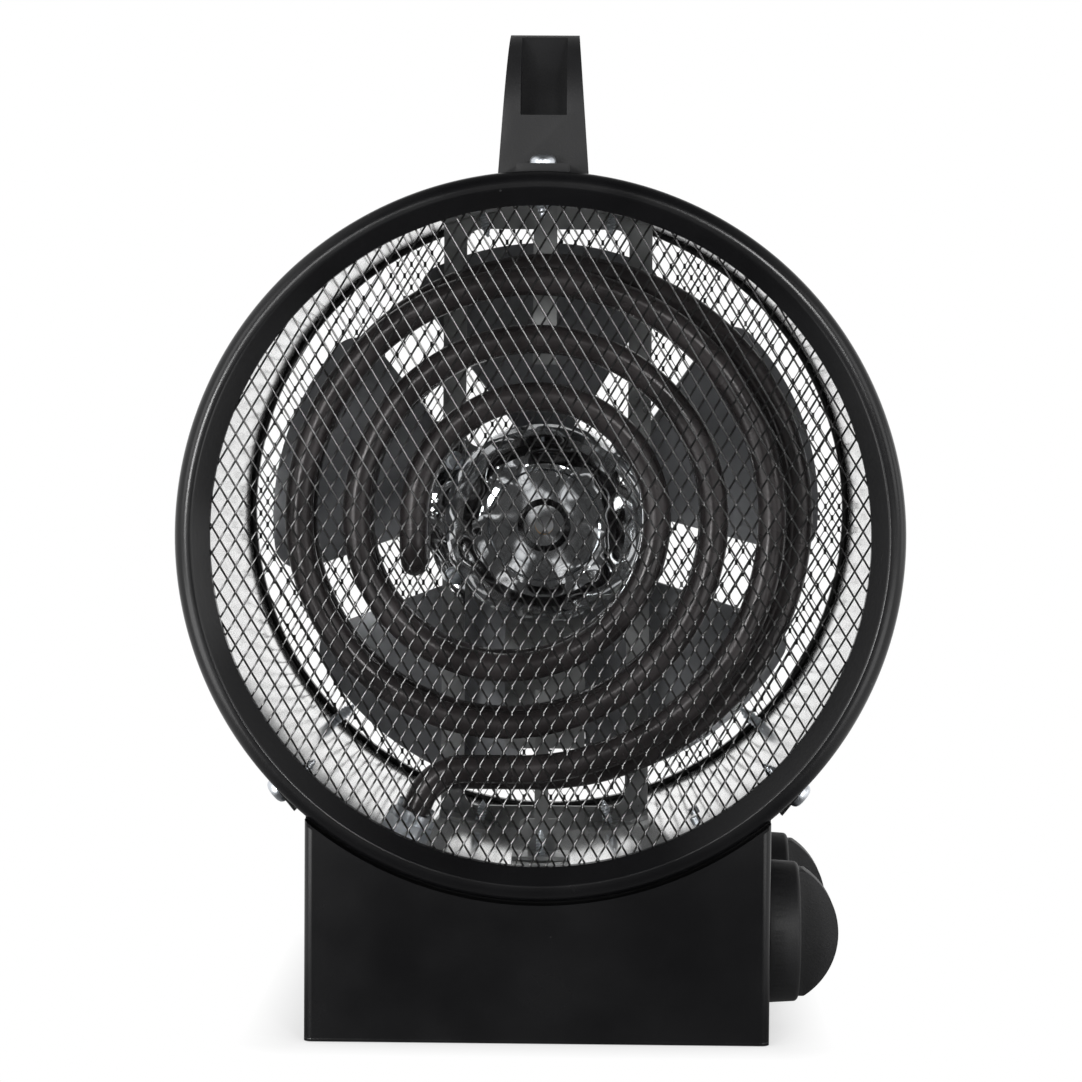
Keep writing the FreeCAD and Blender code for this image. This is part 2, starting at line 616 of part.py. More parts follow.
def mesh_gaps(limit):
    """Diamond gaps of an expanded sheet, trimmed to the border's circle."""
    width, height, strand = size("mesh_width"), size("mesh_height"), size("mesh_strand")
    side = math.hypot(width / 2, height / 2)
    shrink = 1 - strand / 2 * side / (width / 2 * height / 2)
    field = Part.Face(Part.Wire(Part.makeCircle(limit, Vector(), Vector(0, 1, 0))))
    columns = int(limit / width * 2) + 1
    rows = int(limit / height * 2) + 1
    gaps = []
    for i in range(-columns, columns + 1):
        for j in range(-rows, rows + 1):
            middle = Vector(i * width / 2, 0, j * height / 2)
            if (i + j) % 2 or middle.Length > limit + height / 2:
                continue
            wire = diamond(middle, width * shrink, height * shrink)
            if max(math.hypot(v.X, v.Z) for v in wire.Vertexes) > limit:
                kept = Part.Face(wire).common(field)
                if kept.Area < SMALLEST_GAP_AREA:
                    continue
                wire = kept.Faces[0].OuterWire
            gaps.append(wire)
    return gaps


def make_grille(label, opening, depth):
    """Flat expanded sheet: one holed face given its thickness."""
    radius = size(f"{opening} + grille_overlap")
    border = Part.Wire(Part.makeCircle(radius, Vector(), Vector(0, 1, 0)))
    gaps = mesh_gaps(radius - size("grille_rim"))
    face = Part.Face(border)
    face = face.cut(Part.makeCompound([Part.Face(gap) for gap in gaps])).Faces[0]
    item = DOC.addObject("Part::Feature", label)
    item.Shape = face.extrude(Vector(0, size("grille_gauge"), 0))
    place(item, "0", f"{FACE} + {depth}", AXIS)
    print(label, "gaps", len(gaps))
    node(item, label)


def make_grilles():
    make_grille("front_grille", FRONT_OPENING, "front_slope + lip_length")
    make_grille("rear_grille", REAR_OPENING, "drum_length - rear_slope - lip_length - grille_gauge")


# Heating element

TAIL_DIRECTION = "(270 - tail_angle)"
HALF_STEP = f"(({LINER} - coil_margin - coil_inner) / {TURNS - 1})"


def element_layers():
    return (("element_depth", "front"), ("(element_depth + layer_pitch)", "rear"))


def arc_run(depth, centre, height, radius, first, middle, last):
    """Arc in a layer's plane, by its centre and three angles in degrees."""
    points = []
    for angle in (first, middle, last):
        turn = math.radians(angle)
        points.append(Vector(centre + radius * math.cos(turn), depth, height + radius * math.sin(turn)))
    return points


def layer_runs(depth, outset, sweep):
    """Runs of one layer from the inner hairpin leg to the end of its tail."""
    lift, shift = size("coil_lift"), -size("coil_shift")
    inner, step = size("coil_inner"), size(HALF_STEP)
    left = shift - inner
    runs = [[Vector(left, depth, lift - size("hairpin_leg")), Vector(left, depth, lift)]]
    for turn in range(TURNS):
        radius = inner + turn * step
        if turn == TURNS - 1:
            radius += outset / 2
        upper = turn % 2 == 0
        if upper:
            centre = left + radius
            runs.append(arc_run(depth, centre, lift, radius, 180, 90, 0))
            right = centre + radius
        else:
            centre = right - radius
            runs.append(arc_run(depth, centre, lift, radius, 0, -90, -180))
            left = centre - radius
    centre = right - sweep
    runs.append(arc_run(depth, centre, lift, sweep, 0, -45, -90))
    return runs + tail_runs(depth, centre, lift - sweep)


def tail_runs(depth, start, height):
    """Bottom run, bend and tail that leaves along the drum's radius."""
    lean, bend = math.radians(size("tail_angle")), size("tail_bend")
    corner = height * math.tan(lean)
    tangent = bend * math.tan((math.pi / 2 - lean) / 2)
    begin = Vector(corner + tangent, depth, height)
    turn = math.degrees(math.pi / 2 - lean)
    curve = arc_run(depth, begin.x, height - bend, bend, 90, 90 + turn / 2, 90 + turn)
    reach = size(TAIL_REACH)
    end = Vector(-reach * math.sin(lean), depth, -reach * math.cos(lean))
    return [[Vector(start, depth, height), begin], curve, [curve[-1], end]]


def run_edge(run):
    if len(run) == 2:
        return Part.LineSegment(run[0], run[1]).toShape()
    return Part.Arc(run[0], run[1], run[2]).toShape()


def element_runs():
    """Front layer from its tail inwards, hairpin to the rear layer, rear layer outwards."""
    front_depth = size("element_depth")
    rear_depth = front_depth + size("layer_pitch")
    front = layer_runs(front_depth, 0.0, size(f"{LINER} + coil_lift - front_run_margin"))
    rear = layer_runs(rear_depth, size("rear_outset"), size(f"{LINER} + coil_lift - rear_run_margin"))
    inward = [run[::-1] for run in front[::-1]]
    bend = (rear_depth - front_depth) / 2
    start, end = front[0][0], rear[0][0]
    lowest = Vector(start.x, front_depth + bend, start.z - bend)
    return inward + [[start, lowest, end]] + rear


def self_gap(runs, diameter):
    """Least gap of the tube to itself, measured between points along its middle."""
    points, travel, done = [], [], 0.0
    for run in runs:
        edge = run_edge(run)
        count = max(2, int(edge.Length / SAMPLE_STEP))
        points += edge.discretize(count)[:-1]
        travel += [done + edge.Length * i / (count - 1) for i in range(count - 1)]
        done += edge.Length
    reach = 2 * math.pi * diameter
    least = min(a.distanceToPoint(b) for i, a in enumerate(points) for b, way in zip(points[i:], travel[i:])
                if way - travel[i] > reach)
    return least - diameter


def make_element():
    """One unbroken sheathed tube, wound in two layers with both tails at the lower left."""
    runs = element_runs()
    radius = size("tube_diameter") / 2
    path = Part.Wire([run_edge(run) for run in runs])
    start = runs[0][0]
    heading = runs[0][1] - runs[0][0]
    section = Part.Wire(Part.makeCircle(radius, start, heading))
    shell = Part.BRepOffsetAPI.MakePipeShell(path)
    shell.add(section)
    shell.build()
    shell.makeSolid()
    item = DOC.addObject("Part::Feature", "heating_element")
    item.Shape = shell.shape()
    drum_place(item)
    expected = math.pi * radius ** 2 * path.Length
    gap = self_gap(runs, 2 * radius)
    print("heating_element length", round(path.Length, 1), "volume ratio", round(item.Shape.Volume / expected, 5))
    print("heating_element least gap to itself", round(gap, 2))
    if gap < LEAST_SELF_GAP:
        raise ValueError("the element's turns touch")
    node(item, "heating_element")


def make_element_fittings():
    """Sleeves, nuts, ceramic collars and cold pins of both tails."""
    bushes, nuts, collars, pins = [], [], [], []
    for depth, tag in element_layers():
        sleeve = radial_rod(f"bush_body_{tag}", "bush_radius", TAIL_DIRECTION,
                            BUSH_IN, BUSH_OUT, depth)
        bore = radial_rod(f"bush_bore_{tag}", "tube_diameter / 2 + fit_gap", TAIL_DIRECTION,
                          f"{BUSH_IN} - 1", f"{BUSH_OUT} + 1", depth)
        bushes.append(cut(f"bush_{tag}", sleeve, bore))
        for side, low in (("inner", f"{LINER} - nut_sink - bush_nut_length"), ("outer", f"{LINER_OUT} + fit_gap")):
            hexagon = radial_hex(f"bush_nut_{side}_{tag}", "bush_nut_radius", TAIL_DIRECTION,
                                 low, f"{low} + bush_nut_length", depth)
            hole = radial_rod(f"bush_nut_bore_{side}_{tag}", "bush_radius + fit_gap", TAIL_DIRECTION,
                              f"{low} - 1", f"{low} + bush_nut_length + 1", depth)
            nuts.append(cut(f"bush_nut_cut_{side}_{tag}", hexagon, hole))
        collar = radial_rod(f"collar_body_{tag}", "insulator_radius", TAIL_DIRECTION,
                            TAIL_REACH, f"{TAIL_REACH} + insulator_length", depth)
        hole = radial_rod(f"collar_bore_{tag}", "pin_radius + fit_gap", TAIL_DIRECTION,
                          f"{TAIL_REACH} - 1", f"{TAIL_REACH} + insulator_length + 1", depth)
        collars.append(cut(f"collar_{tag}", collar, hole))
        pins.append(radial_rod(f"pin_{tag}", "pin_radius", TAIL_DIRECTION,
                               TAIL_REACH, f"{TAIL_REACH} + pin_length", depth))
    node(group("element_bushes", bushes), "element_bushes")
    node(group("element_nuts", nuts), "element_nuts")
    node(group("element_insulators", collars), "element_insulators")
    node(group("element_terminals", pins), "element_terminals")


SUPPORT_FRONT = "(element_depth + layer_pitch + tube_diameter / 2 + seat_gap)"
SUPPORT_SCREWS = (("90", "top", f"({SUPPORT_FRONT} + support_foot / 2)"),
                  ("270", "bottom", f"({SUPPORT_FRONT} - support_foot / 2)"))
SUPPORT_BACK = f"{SUPPORT_FRONT} + support_gauge"
SUPPORT_TOP = f"(sqrt({LINER} ^ 2 - (support_width / 2) ^ 2) - fit_gap)"
SUPPORT_BOTTOM = f"(sqrt({LINER} ^ 2 - (lower_foot_width / 2) ^ 2) - fit_gap)"


def upper_support():
    """Plain strip with its foot turned to the back."""
    strip = drum_block("support_strip_top", "support_width", SUPPORT_FRONT, SUPPORT_BACK,
                       "support_inner_end", SUPPORT_TOP)
    foot = drum_block("support_foot_top", "support_width", SUPPORT_FRONT, f"{SUPPORT_FRONT} + support_foot",
                      f"{SUPPORT_TOP} - support_gauge", SUPPORT_TOP)
    return fuse("support_bent_top", strip, foot)


def lower_support():
    """Narrow strip on a round-cornered shoulder, a waist and a wide foot turned to the front."""
    shoulder_top, shoulder_low = f"({LINER} - shoulder_margin)", f"({LINER} - waist_margin)"
    strip = drum_block("support_strip_bottom", "lower_strip", SUPPORT_FRONT, SUPPORT_BACK,
                       f"-{shoulder_low}", "-support_inner_end")
    shoulder = rounded_block("support_shoulder", "shoulder_width", "shoulder_margin - waist_margin",
                             "support_gauge", "shoulder_round")
    place(shoulder, "0", f"{FACE} + {SUPPORT_BACK}", f"{AXIS} - ({shoulder_top} + {shoulder_low}) / 2",
          (("1; 0; 0", "90"),))
    waist = drum_block("support_waist", "waist_width", SUPPORT_FRONT, SUPPORT_BACK,
                       f"-{SUPPORT_BOTTOM}", f"-{shoulder_low} + shoulder_round")
    foot = drum_block("support_foot_bottom", "lower_foot_width", f"{SUPPORT_FRONT} - support_foot", SUPPORT_BACK,
                      f"-{SUPPORT_BOTTOM}", f"support_gauge - {SUPPORT_BOTTOM}")
    return fuse("support_bent_bottom", strip, shoulder, waist, foot)


def make_supports():
    """Strips behind the rear layer, each with a foot screwed to the liner."""
    blanks, screws = {"top": upper_support(), "bottom": lower_support()}, []
    for angle, tag, depth in SUPPORT_SCREWS:
        hole = radial_hole(f"support_hole_{tag}", angle, depth, small=True)
        label = f"element_support_{tag}"
        node(cut(label, blanks[tag], hole), label)
        screws.append(radial_screw(f"support_screw_{tag}", angle, SCREW_TIP,
                                   f"{LINER_OUT} + fit_gap", depth, small=True))
    node(group("support_screws", screws), "support_screws")


# Motor and fan

BRACKET_SCREW_DEPTH = f"({BRACKET} - bracket_flange / 2)"
BRACKET_BACK = f"({BRACKET} + bracket_gauge)"
BRACKET_EDGE = f"({STRAP} + strap_width / 2)"


def make_bracket():
    """Stamped frame: two straps, end bands with tabs on the liner, and the motor's plate with its tongue."""
    disc = drum_rod("bracket_disc", f"{LINER} - fit_gap", BRACKET, BRACKET_BACK)
    field = drum_block("bracket_field", f"2 * {BRACKET_EDGE}", f"{BRACKET} - bracket_flange", BRACKET_BACK,
                       f"-{LINER}", LINER)
    plate = common("bracket_plate", disc, field)
    tube = cut("bracket_tube",
               drum_rod("bracket_tube_body", f"{LINER} - fit_gap", f"{BRACKET} - bracket_flange", BRACKET_BACK),
               drum_rod("bracket_tube_bore", f"{LINER} - fit_gap - bracket_gauge", "0", "drum_length"))
    flanges = common("bracket_flanges", tube, field)
    frame = fuse("bracket_frame", plate, flanges)
    tools = [drum_rod("bracket_bore", "boss_radius + seat_gap", f"{BRACKET} - 1", f"{BRACKET_BACK} + 1"),
             drum_block("bracket_tab_gap", "flange_gap", f"{BRACKET} - bracket_flange - 1", BRACKET,
                        f"-{LINER}", LINER)]
    band = f"({LINER} - band_width)"
    window_height = f"{band} - plate_half_height"
    for tag, sign in (("top", "1"), ("bottom", "-1")):
        window = rounded_block(f"bracket_window_{tag}", f"2 * {STRAP} - strap_width", window_height,
                               "bracket_gauge + 2", "window_round")
        place(window, "0", f"{FACE} + {BRACKET_BACK} + 1",
              f"{AXIS} + {sign} * ({band} + plate_half_height) / 2", (("1; 0; 0", "90"),))
        if tag == "bottom":
            tongue = drum_block("bracket_tongue", "tongue_width", f"{BRACKET} - 1", f"{BRACKET_BACK} + 2",
                                f"-({LINER} - tongue_margin)", "0")
            window = cut("bracket_opening_bottom", window, tongue)
        tools.append(window)
    for angle, tag in bracket_screw_places():
        tools.append(radial_hole(f"bracket_hole_{tag}", angle, BRACKET_SCREW_DEPTH, small=True))
    for angle, tag in motor_screw_places():
        tools.append(axial_rod(f"bracket_motor_hole_{tag}", "small_screw_radius + hole_gap", angle,
                               MOTOR_SCREWS, f"{BRACKET} - 1", f"{BRACKET_BACK} + 1"))
    for angle, tag in ear_places():
        tools.append(axial_rod(f"bracket_ear_hole_{tag}", "small_screw_radius + hole_gap", angle,
                               EAR_CIRCLE, f"{BRACKET} - 1", f"{BRACKET_BACK} + 1"))
    node(cut("motor_bracket", frame, *tools), "motor_bracket")
    screws = [radial_screw(f"bracket_screw_{tag}", angle, SCREW_TIP, f"{LINER_OUT} + fit_gap",
                           BRACKET_SCREW_DEPTH, small=True) for angle, tag in bracket_screw_places()]
    node(group("bracket_screws", screws), "bracket_screws")


def motor_screw_places():
    return (("45", "a"), ("135", "b"), ("225", "c"), ("315", "d"))


EAR_CIRCLE = "(shield_radius + shield_ear / 2)"
EAR_ANGLE = f"(acos({STRAP} / {EAR_CIRCLE}) / 1 deg)"


def ear_places():
    return ((EAR_ANGLE, "a"), (f"(180 - {EAR_ANGLE})", "b"),
            (f"(180 + {EAR_ANGLE})", "c"), (f"(360 - {EAR_ANGLE})", "d"))


def axial_rod(name, radius, angle, circle, front, back):
    """Cylinder along the drum at a place on a circle round its axis."""
    return drum_rod(name, radius, front, back, f"({circle}) * cos({angle})", f"({circle}) * sin({angle})")


def axial_screw(name, angle, circle, tip, seat, towards_back):
    """Small screw along the drum, with its head behind or in front of the seat."""
    if towards_back:
        shank = axial_rod(name + "_shank", "small_screw_radius", angle, circle, tip, seat)
        head = axial_rod(name + "_head", "small_head_radius", angle, circle, seat, f"{seat} + small_head_height")
    else:
        shank = axial_rod(name + "_shank", "small_screw_radius", angle, circle, seat, tip)
        head = axial_rod(name + "_head", "small_head_radius", angle, circle, f"{seat} - small_head_height", seat)
    return fuse(name, shank, head)


def shield_round(radius, start):
    """Corners of the cap's rounded shoulder, from the land out to the skirt."""
    points = []
    for turn in range(15, 91, 15):
        across, along = math.sin(math.radians(turn)), 1 - math.cos(math.radians(turn))
        points.append((f"shield_land + ({radius} - shield_land) * {across:.4f}",
                       f"{start} + (shield_drop - shield_step) * {along:.4f}"))
    return points


def make_shield():
    """Drawn bright cap over the motor, with a boss, a groove, a rounded shoulder and ears on the straps."""
    inner, gauge, front = "(shield_radius - shield_gauge)", "shield_gauge", "shield_front"
    land = f"{front} + shield_step"
    corners = [("shaft_radius", front), ("shield_boss - 2", front), ("shield_boss", f"{front} + 1.5"),
               ("shield_boss", f"{front} + 3"), ("shield_groove - 0.8", f"{front} + 3"),
               ("shield_groove", land), ("shield_land", land)]
    corners += shield_round("shield_radius", land)
    corners += [("shield_radius", BRACKET), (inner, BRACKET)]
    corners += shield_round(inner, f"{land} + {gauge}")[::-1]
    corners += [("shield_land", f"{land} + {gauge}"), ("shield_groove", f"{land} + {gauge}"),
                ("shield_groove - 0.8", f"{front} + 3 + {gauge}"),
                (f"shield_boss - {gauge}", f"{front} + 3 + {gauge}"),
                (f"shield_boss - {gauge}", f"{front} + 1.5 + {gauge}"),
                (f"shield_boss - 2 - {gauge}", f"{front} + {gauge}"), ("shaft_radius", f"{front} + {gauge}")]
    cap = drum_place(turned("shield_cap", corners))
    ring = cut("shield_flange",
               drum_rod("shield_flange_disc", "shield_radius + shield_ear",
                        f"{BRACKET} - 2 * shield_gauge", BRACKET),
               drum_rod("shield_flange_bore", inner, f"{BRACKET} - 5", f"{BRACKET} + 5"))
    middle = drum_block("shield_flange_field", f"2 * ({STRAP} - strap_width / 2)", "shield_front",
                        f"{BRACKET} + 5", "-casing_radius", "casing_radius")
    ears = cut("shield_ears", ring, middle)
    whole = fuse("shield_whole", cap, ears)
    holes = [axial_rod(f"shield_hole_{tag}", "small_screw_radius + hole_gap", angle, EAR_CIRCLE,
                       f"{BRACKET} - 5", f"{BRACKET} + 5") for angle, tag in ear_places()]
    node(cut("motor_shield", whole, *holes), "motor_shield")
    screws = [axial_screw(f"shield_screw_{tag}", angle, EAR_CIRCLE, f"{BRACKET_BACK} + 2",
                          f"{BRACKET} - 2 * shield_gauge", False) for angle, tag in ear_places()]
    node(group("shield_screws", screws), "shield_screws")


def make_motor():
    """Round motor: housing, end plate, core, windings, bearings, rotor and shaft."""
    wall = f"({MOTOR_RADIUS} - motor_wall)"
    front_boss = f"({MOTOR_FRONT} - boss_reach)"
    rear_boss = f"({BRACKET} + boss_reach)"
    bore = "(shaft_radius + run_gap)"
    seat = "(bearing_radius + fit_gap)"
    passage = "(shaft_radius + seat_gap)"
    front_stop = f"({front_boss} + bearing_length)"
    rear_stop = f"({rear_boss} - bearing_length)"
    corners = [(seat, front_boss), ("boss_radius", front_boss), ("boss_radius", MOTOR_FRONT),
               (MOTOR_RADIUS, MOTOR_FRONT), (MOTOR_RADIUS, END_PLATE), (wall, END_PLATE),
               (wall, f"{MOTOR_FRONT} + motor_wall"), (passage, f"{MOTOR_FRONT} + motor_wall"),
               (passage, front_stop), (seat, front_stop)]
    node(drum_place(turned("motor_housing", corners)), "motor_housing")
    corners = [(passage, END_PLATE), (MOTOR_RADIUS, END_PLATE), (MOTOR_RADIUS, BRACKET),
               ("boss_radius", BRACKET), ("boss_radius", rear_boss), (seat, rear_boss),
               (seat, rear_stop), (passage, rear_stop)]
    plate = drum_place(turned("end_plate_blank", corners))
    holes = [axial_rod(f"end_plate_hole_{tag}", "small_screw_radius + fit_gap", angle, MOTOR_SCREWS,
                       f"{END_PLATE} - 1", f"{BRACKET} + 1") for angle, tag in motor_screw_places()]
    node(cut("motor_end_plate", plate, *holes), "motor_end_plate")
    for label, low in (("front_bearing", front_boss), ("rear_bearing", rear_stop)):
        corners = [(bore, low), ("bearing_radius", low), ("bearing_radius", f"{low} + bearing_length"),
                   (bore, f"{low} + bearing_length")]
        node(drum_place(turned(label, corners)), label)
    core_front = f"({MOTOR_FRONT} + core_setback)"
    core_back = f"({core_front} + core_length)"
    inner = "(rotor_radius + air_gap)"
    outer = f"({wall} - fit_gap)"
    corners = [(inner, core_front), (outer, core_front), (outer, core_back), (inner, core_back)]
    node(drum_place(turned("motor_stator", corners)), "motor_stator")
    coils = []
    for tag, low in (("front", f"{core_front} - winding_length"), ("rear", core_back)):
        corners = [(f"{inner} + 1", low), (f"{outer} - 1", low), (f"{outer} - 1", f"{low} + winding_length"),
                   (f"{inner} + 1", f"{low} + winding_length")]
        coils.append(drum_place(turned(f"winding_{tag}", corners)))
    node(group("motor_windings", coils), "motor_windings")
    hole = "(shaft_radius + fit_gap)"
    corners = [(hole, core_front), ("rotor_radius", core_front), ("rotor_radius", core_back), (hole, core_back)]
    node(drum_place(turned("motor_rotor", corners)), "motor_rotor")
    node(drum_rod("motor_shaft", "shaft_radius", f"{front_boss} + seat_gap",
                  f"{FAN_HUB_END} + fan_nut_length + shaft_tail"), "motor_shaft")
    screws = [axial_screw(f"motor_screw_{tag}", angle, MOTOR_SCREWS, END_PLATE, BRACKET_BACK, True)
              for angle, tag in motor_screw_places()]
    node(group("motor_screws", screws), "motor_screws")


def blade_solid():
    """Flat paddle along +X: straight edges beside the gaps, round tip corners, pitched about its length."""
    half = math.pi / BLADES
    gauge, tip, root = size("fan_gauge"), size(FAN_RADIUS), size("fan_root_width") / 2
    apex = size("fan_gap") / 2 / math.sin(half)
    run = apex * math.cos(half)
    along = -run + math.sqrt(run ** 2 + tip ** 2 - apex ** 2)
    corner = Vector(apex + along * math.cos(half), 0, along * math.sin(half))
    mirror = Vector(corner.x, 0, -corner.z)
    start = size("hub_radius") + size("seat_gap")
    neck = apex + root / math.tan(half)
    outline = [Vector(start, 0, -root), Vector(neck, 0, -root), mirror]
    edges = [Part.LineSegment(a, b).toShape() for a, b in zip(outline, outline[1:])]
    edges.append(Part.Arc(mirror, Vector(tip, 0, 0), corner).toShape())
    back = [corner, Vector(neck, 0, root), Vector(start, 0, root), outline[0]]
    edges += [Part.LineSegment(a, b).toShape() for a, b in zip(back, back[1:])]
    blade = Part.Face(Part.Wire(edges)).extrude(Vector(0, gauge, 0))
    tips = [edge for edge in blade.Edges if edge.BoundBox.XLength < 1e-6 and edge.BoundBox.ZLength < 1e-6
            and abs(edge.BoundBox.XMin - corner.x) < 1e-4]
    blade = blade.makeFillet(size("fan_tip_round"), tips)
    blade.rotate(Vector(0, gauge / 2, 0), Vector(1, 0, 0), size("fan_pitch_angle"))
    return blade


def make_fan():
    """Five-blade fan on a hub, held by a nut on the motor's shaft."""
    gauge = size("fan_gauge")
    disc = Part.makeCylinder(size("fan_disc"), gauge, Vector(), Vector(0, 1, 0))
    blades = []
    for i in range(BLADES):
        blade = blade_solid()
        blade.rotate(Vector(), Vector(0, -1, 0), 90 + size("fan_turn_angle") + 360 / BLADES * i)
        blades.append(blade)
    hole = Part.makeCylinder(size("hub_radius + fit_gap"), 4 * size(FAN_RADIUS),
                             Vector(0, -2 * size(FAN_RADIUS), 0), Vector(0, 1, 0))
    collar_room = Part.makeCylinder(size("hub_collar + seat_gap"), size(FAN_RADIUS), Vector(0, gauge, 0),
                                    Vector(0, 1, 0))
    wheel = disc.multiFuse(blades).cut(hole).cut(collar_room).removeSplitter()
    item = DOC.addObject("Part::Feature", "fan_blades")
    item.Shape = wheel
    place(item, "0", f"{FACE} + {FAN}", AXIS)
    print("fan_blades solids", len(wheel.Solids))
    node(item, "fan_blades")
    bore = "(shaft_radius + fit_gap)"
    front = f"({FAN} - hub_front_length)"
    collar = f"({FAN} + fan_gauge)"
    collar_end = f"({collar} + hub_collar_length)"
    back = f"({collar_end} + hub_rear_length)"
    corners = [(bore, front), ("hub_radius", front), ("hub_radius", collar), ("hub_collar", collar),
               ("hub_collar", collar_end), ("hub_radius", collar_end), ("hub_radius", back), (bore, back)]
    node(drum_place(turned("fan_hub", corners)), "fan_hub")
    hexagon = DOC.addObject("Part::Prism", "fan_nut_body")
    hexagon.Polygon = 6
    bind(hexagon, Circumradius="fan_nut_radius", Height="fan_nut_length")
    place(hexagon, "0", f"{FACE} + {back}", AXIS, (("1; 0; 0", "-90"),))
    node(cut("fan_nut", hexagon, drum_rod("fan_nut_bore", bore, f"{back} - 1", f"{back} + fan_nut_length + 1")),
         "fan_nut")


# Control box and base

def saddle_lip_shape(tag, front):
    """Curved lip that follows a rim from below."""
    tube = cut(f"lip_tube_{tag}",
               drum_rod(f"lip_body_{tag}", f"{SADDLE} + sheet_gauge", front, f"{front} + saddle_lip"),
               drum_rod(f"lip_bore_{tag}", SADDLE, "-1", "drum_length + 1"))
    field = drum_block(f"lip_field_{tag}", "2 * saddle_half_width", front, f"{front} + saddle_lip",
                       "-2 * casing_radius", "-casing_radius / 2")
    return common(f"lip_{tag}", tube, field)


def collar_shape():
    """Curved edge of the box's front round the rim's rolled edge, stepped in to the front lip."""
    end = "ring_reach + sheet_gauge"
    tube = cut("collar_tube",
               drum_rod("collar_body", f"{COLLAR} + sheet_gauge", "front_reach", end),
               drum_rod("collar_bore", COLLAR, "-1", "ring_reach"),
               drum_rod("collar_seat", SADDLE, "-1", "drum_length + 1"))
    field = drum_block("collar_field", "box_width - 2 * sheet_gauge", "front_reach", end,
                       "-2 * casing_radius", "-casing_radius / 2")
    return common("box_collar", tube, field)


PANEL_FRONT = f"({BOX_DEPTH} / 2 - sheet_gauge)"
PANEL_SCREW_X = f"({WALL} - sheet_gauge - panel_flange / 2)"


def panel_screw_places():
    places = []
    for x, side in ((f"-{PANEL_SCREW_X}", "left"), (PANEL_SCREW_X, "right")):
        for z, level in (("(base_gauge + panel_screw_height)", "low"),
                         ("(base_gauge + panel_screw_height + panel_screw_spacing)", "high")):
            places.append((x, z, f"{side}_{level}"))
    return places


def make_box():
    """Front and sides folded from one sheet, with saddle edges, a stepped front lip and rear flanges."""
    height = f"{AXIS} - base_gauge"
    back = f"({PANEL_FRONT} - fit_gap)"
    outer = place(rounded_block("box_outer", "box_width", BOX_LENGTH, height, "box_bend"),
                  "0", BOX_MIDDLE, "base_gauge")
    inner = rounded_block("box_inner", "box_width - 2 * sheet_gauge", f"{BOX_LENGTH} - 2 * sheet_gauge",
                          f"{AXIS} + 2", "box_bend - sheet_gauge")
    place(inner, "0", BOX_MIDDLE, "base_gauge - 1")
    drum = drum_rod("box_drum", SADDLE, "-1", "drum_length + 1")
    rim = drum_rod("box_rim", COLLAR, "-1", "ring_reach")
    behind = block("box_behind", "2 * box_width", "box_width", f"2 * {AXIS}", "-box_width", back, "0")
    walls = cut("box_walls", outer, inner, behind, drum, rim)
    flanges = []
    for tag, x in (("left", f"-{WALL}"), ("right", f"{WALL} - panel_flange - sheet_gauge")):
        sheet = block(f"box_flange_sheet_{tag}", "panel_flange + sheet_gauge", "sheet_gauge", f"{AXIS} - base_gauge",
                      x, f"{back} - sheet_gauge", "base_gauge")
        flanges.append(cut(f"box_flange_{tag}", sheet, drum))
    folded = fuse("box_folded", walls, collar_shape(), saddle_lip_shape("front", "ring_reach"), *flanges)
    tools = saddle_holes("box_front_hole", SCREW_DEPTH)
    for y, tag in ((KNOB_FRONT_Y, "front"), (KNOB_REAR_Y, "rear")):
        tools.append(side_rod(f"box_neck_hole_{tag}", "neck_radius + hole_gap", "-2 * sheet_gauge", "2 * sheet_gauge",
                              y, "knob_height"))
        for step, side in (("-", "a"), ("+", "b")):
            tools.append(side_rod(f"box_control_hole_{tag}_{side}", "small_screw_radius + hole_gap",
                                  "-2 * sheet_gauge", "2 * sheet_gauge",
                                  f"{y} {step} control_screw_spread", "knob_height"))
    for x, z, tag in panel_screw_places():
        tools.append(back_rod(f"box_panel_hole_{tag}", "small_screw_radius + fit_gap", "-4 * sheet_gauge", "0", x, z))
    node(cut("control_box", folded, *tools), "control_box")


def make_rear_panel():
    """Flat panel closing the box's rear, with the gland's hole and a curved lip under the rear rim."""
    sheet = block("panel_sheet", "box_width", "sheet_gauge", f"{AXIS} - base_gauge", f"-{WALL}", PANEL_FRONT,
                  "base_gauge")
    drum = drum_rod("panel_drum", SADDLE, "-1", "drum_length + 1")
    plate = cut("panel_plate", sheet, drum)
    lip = saddle_lip_shape("rear", "drum_length - ring_reach - saddle_lip")
    tools = saddle_holes("panel_saddle_hole", REAR_SCREW_DEPTH)
    tools.append(back_rod("panel_gland_hole", "gland_thread + hole_gap", "-2 * sheet_gauge", "2 * sheet_gauge",
                          GLAND_X, "gland_height"))
    for x, tag in base_screw_places():
        tools.append(back_rod(f"panel_base_hole_{tag}", "small_screw_radius + hole_gap",
                              "-2 * sheet_gauge", "2 * sheet_gauge", x, BASE_SCREW_HEIGHT))
    screws = []
    for x, z, tag in panel_screw_places():
        tools.append(back_rod(f"panel_hole_{tag}", "small_screw_radius + hole_gap", "-2 * sheet_gauge",
                              "2 * sheet_gauge", x, z))
        screws.append(back_screw(f"panel_screw_{tag}", x, z))
    node(cut("rear_panel", fuse("panel_whole", plate, lip), *tools), "rear_panel")
    node(group("panel_screws", screws), "panel_screws")


def back_screw(name, x, z):
    """Small screw in the box's rear, head outside."""
    return fuse(name,
                back_rod(name + "_shank", "small_screw_radius", "-6 * sheet_gauge", "0", x, z),
                back_rod(name + "_head", "small_head_radius", "0", "small_head_height", x, z))


def base_screw_places():
    return (("-base_screw_spread", "left"), ("base_screw_spread", "right"))


BASE_SCREW_HEIGHT = "(base_gauge + tray_lip / 2)"


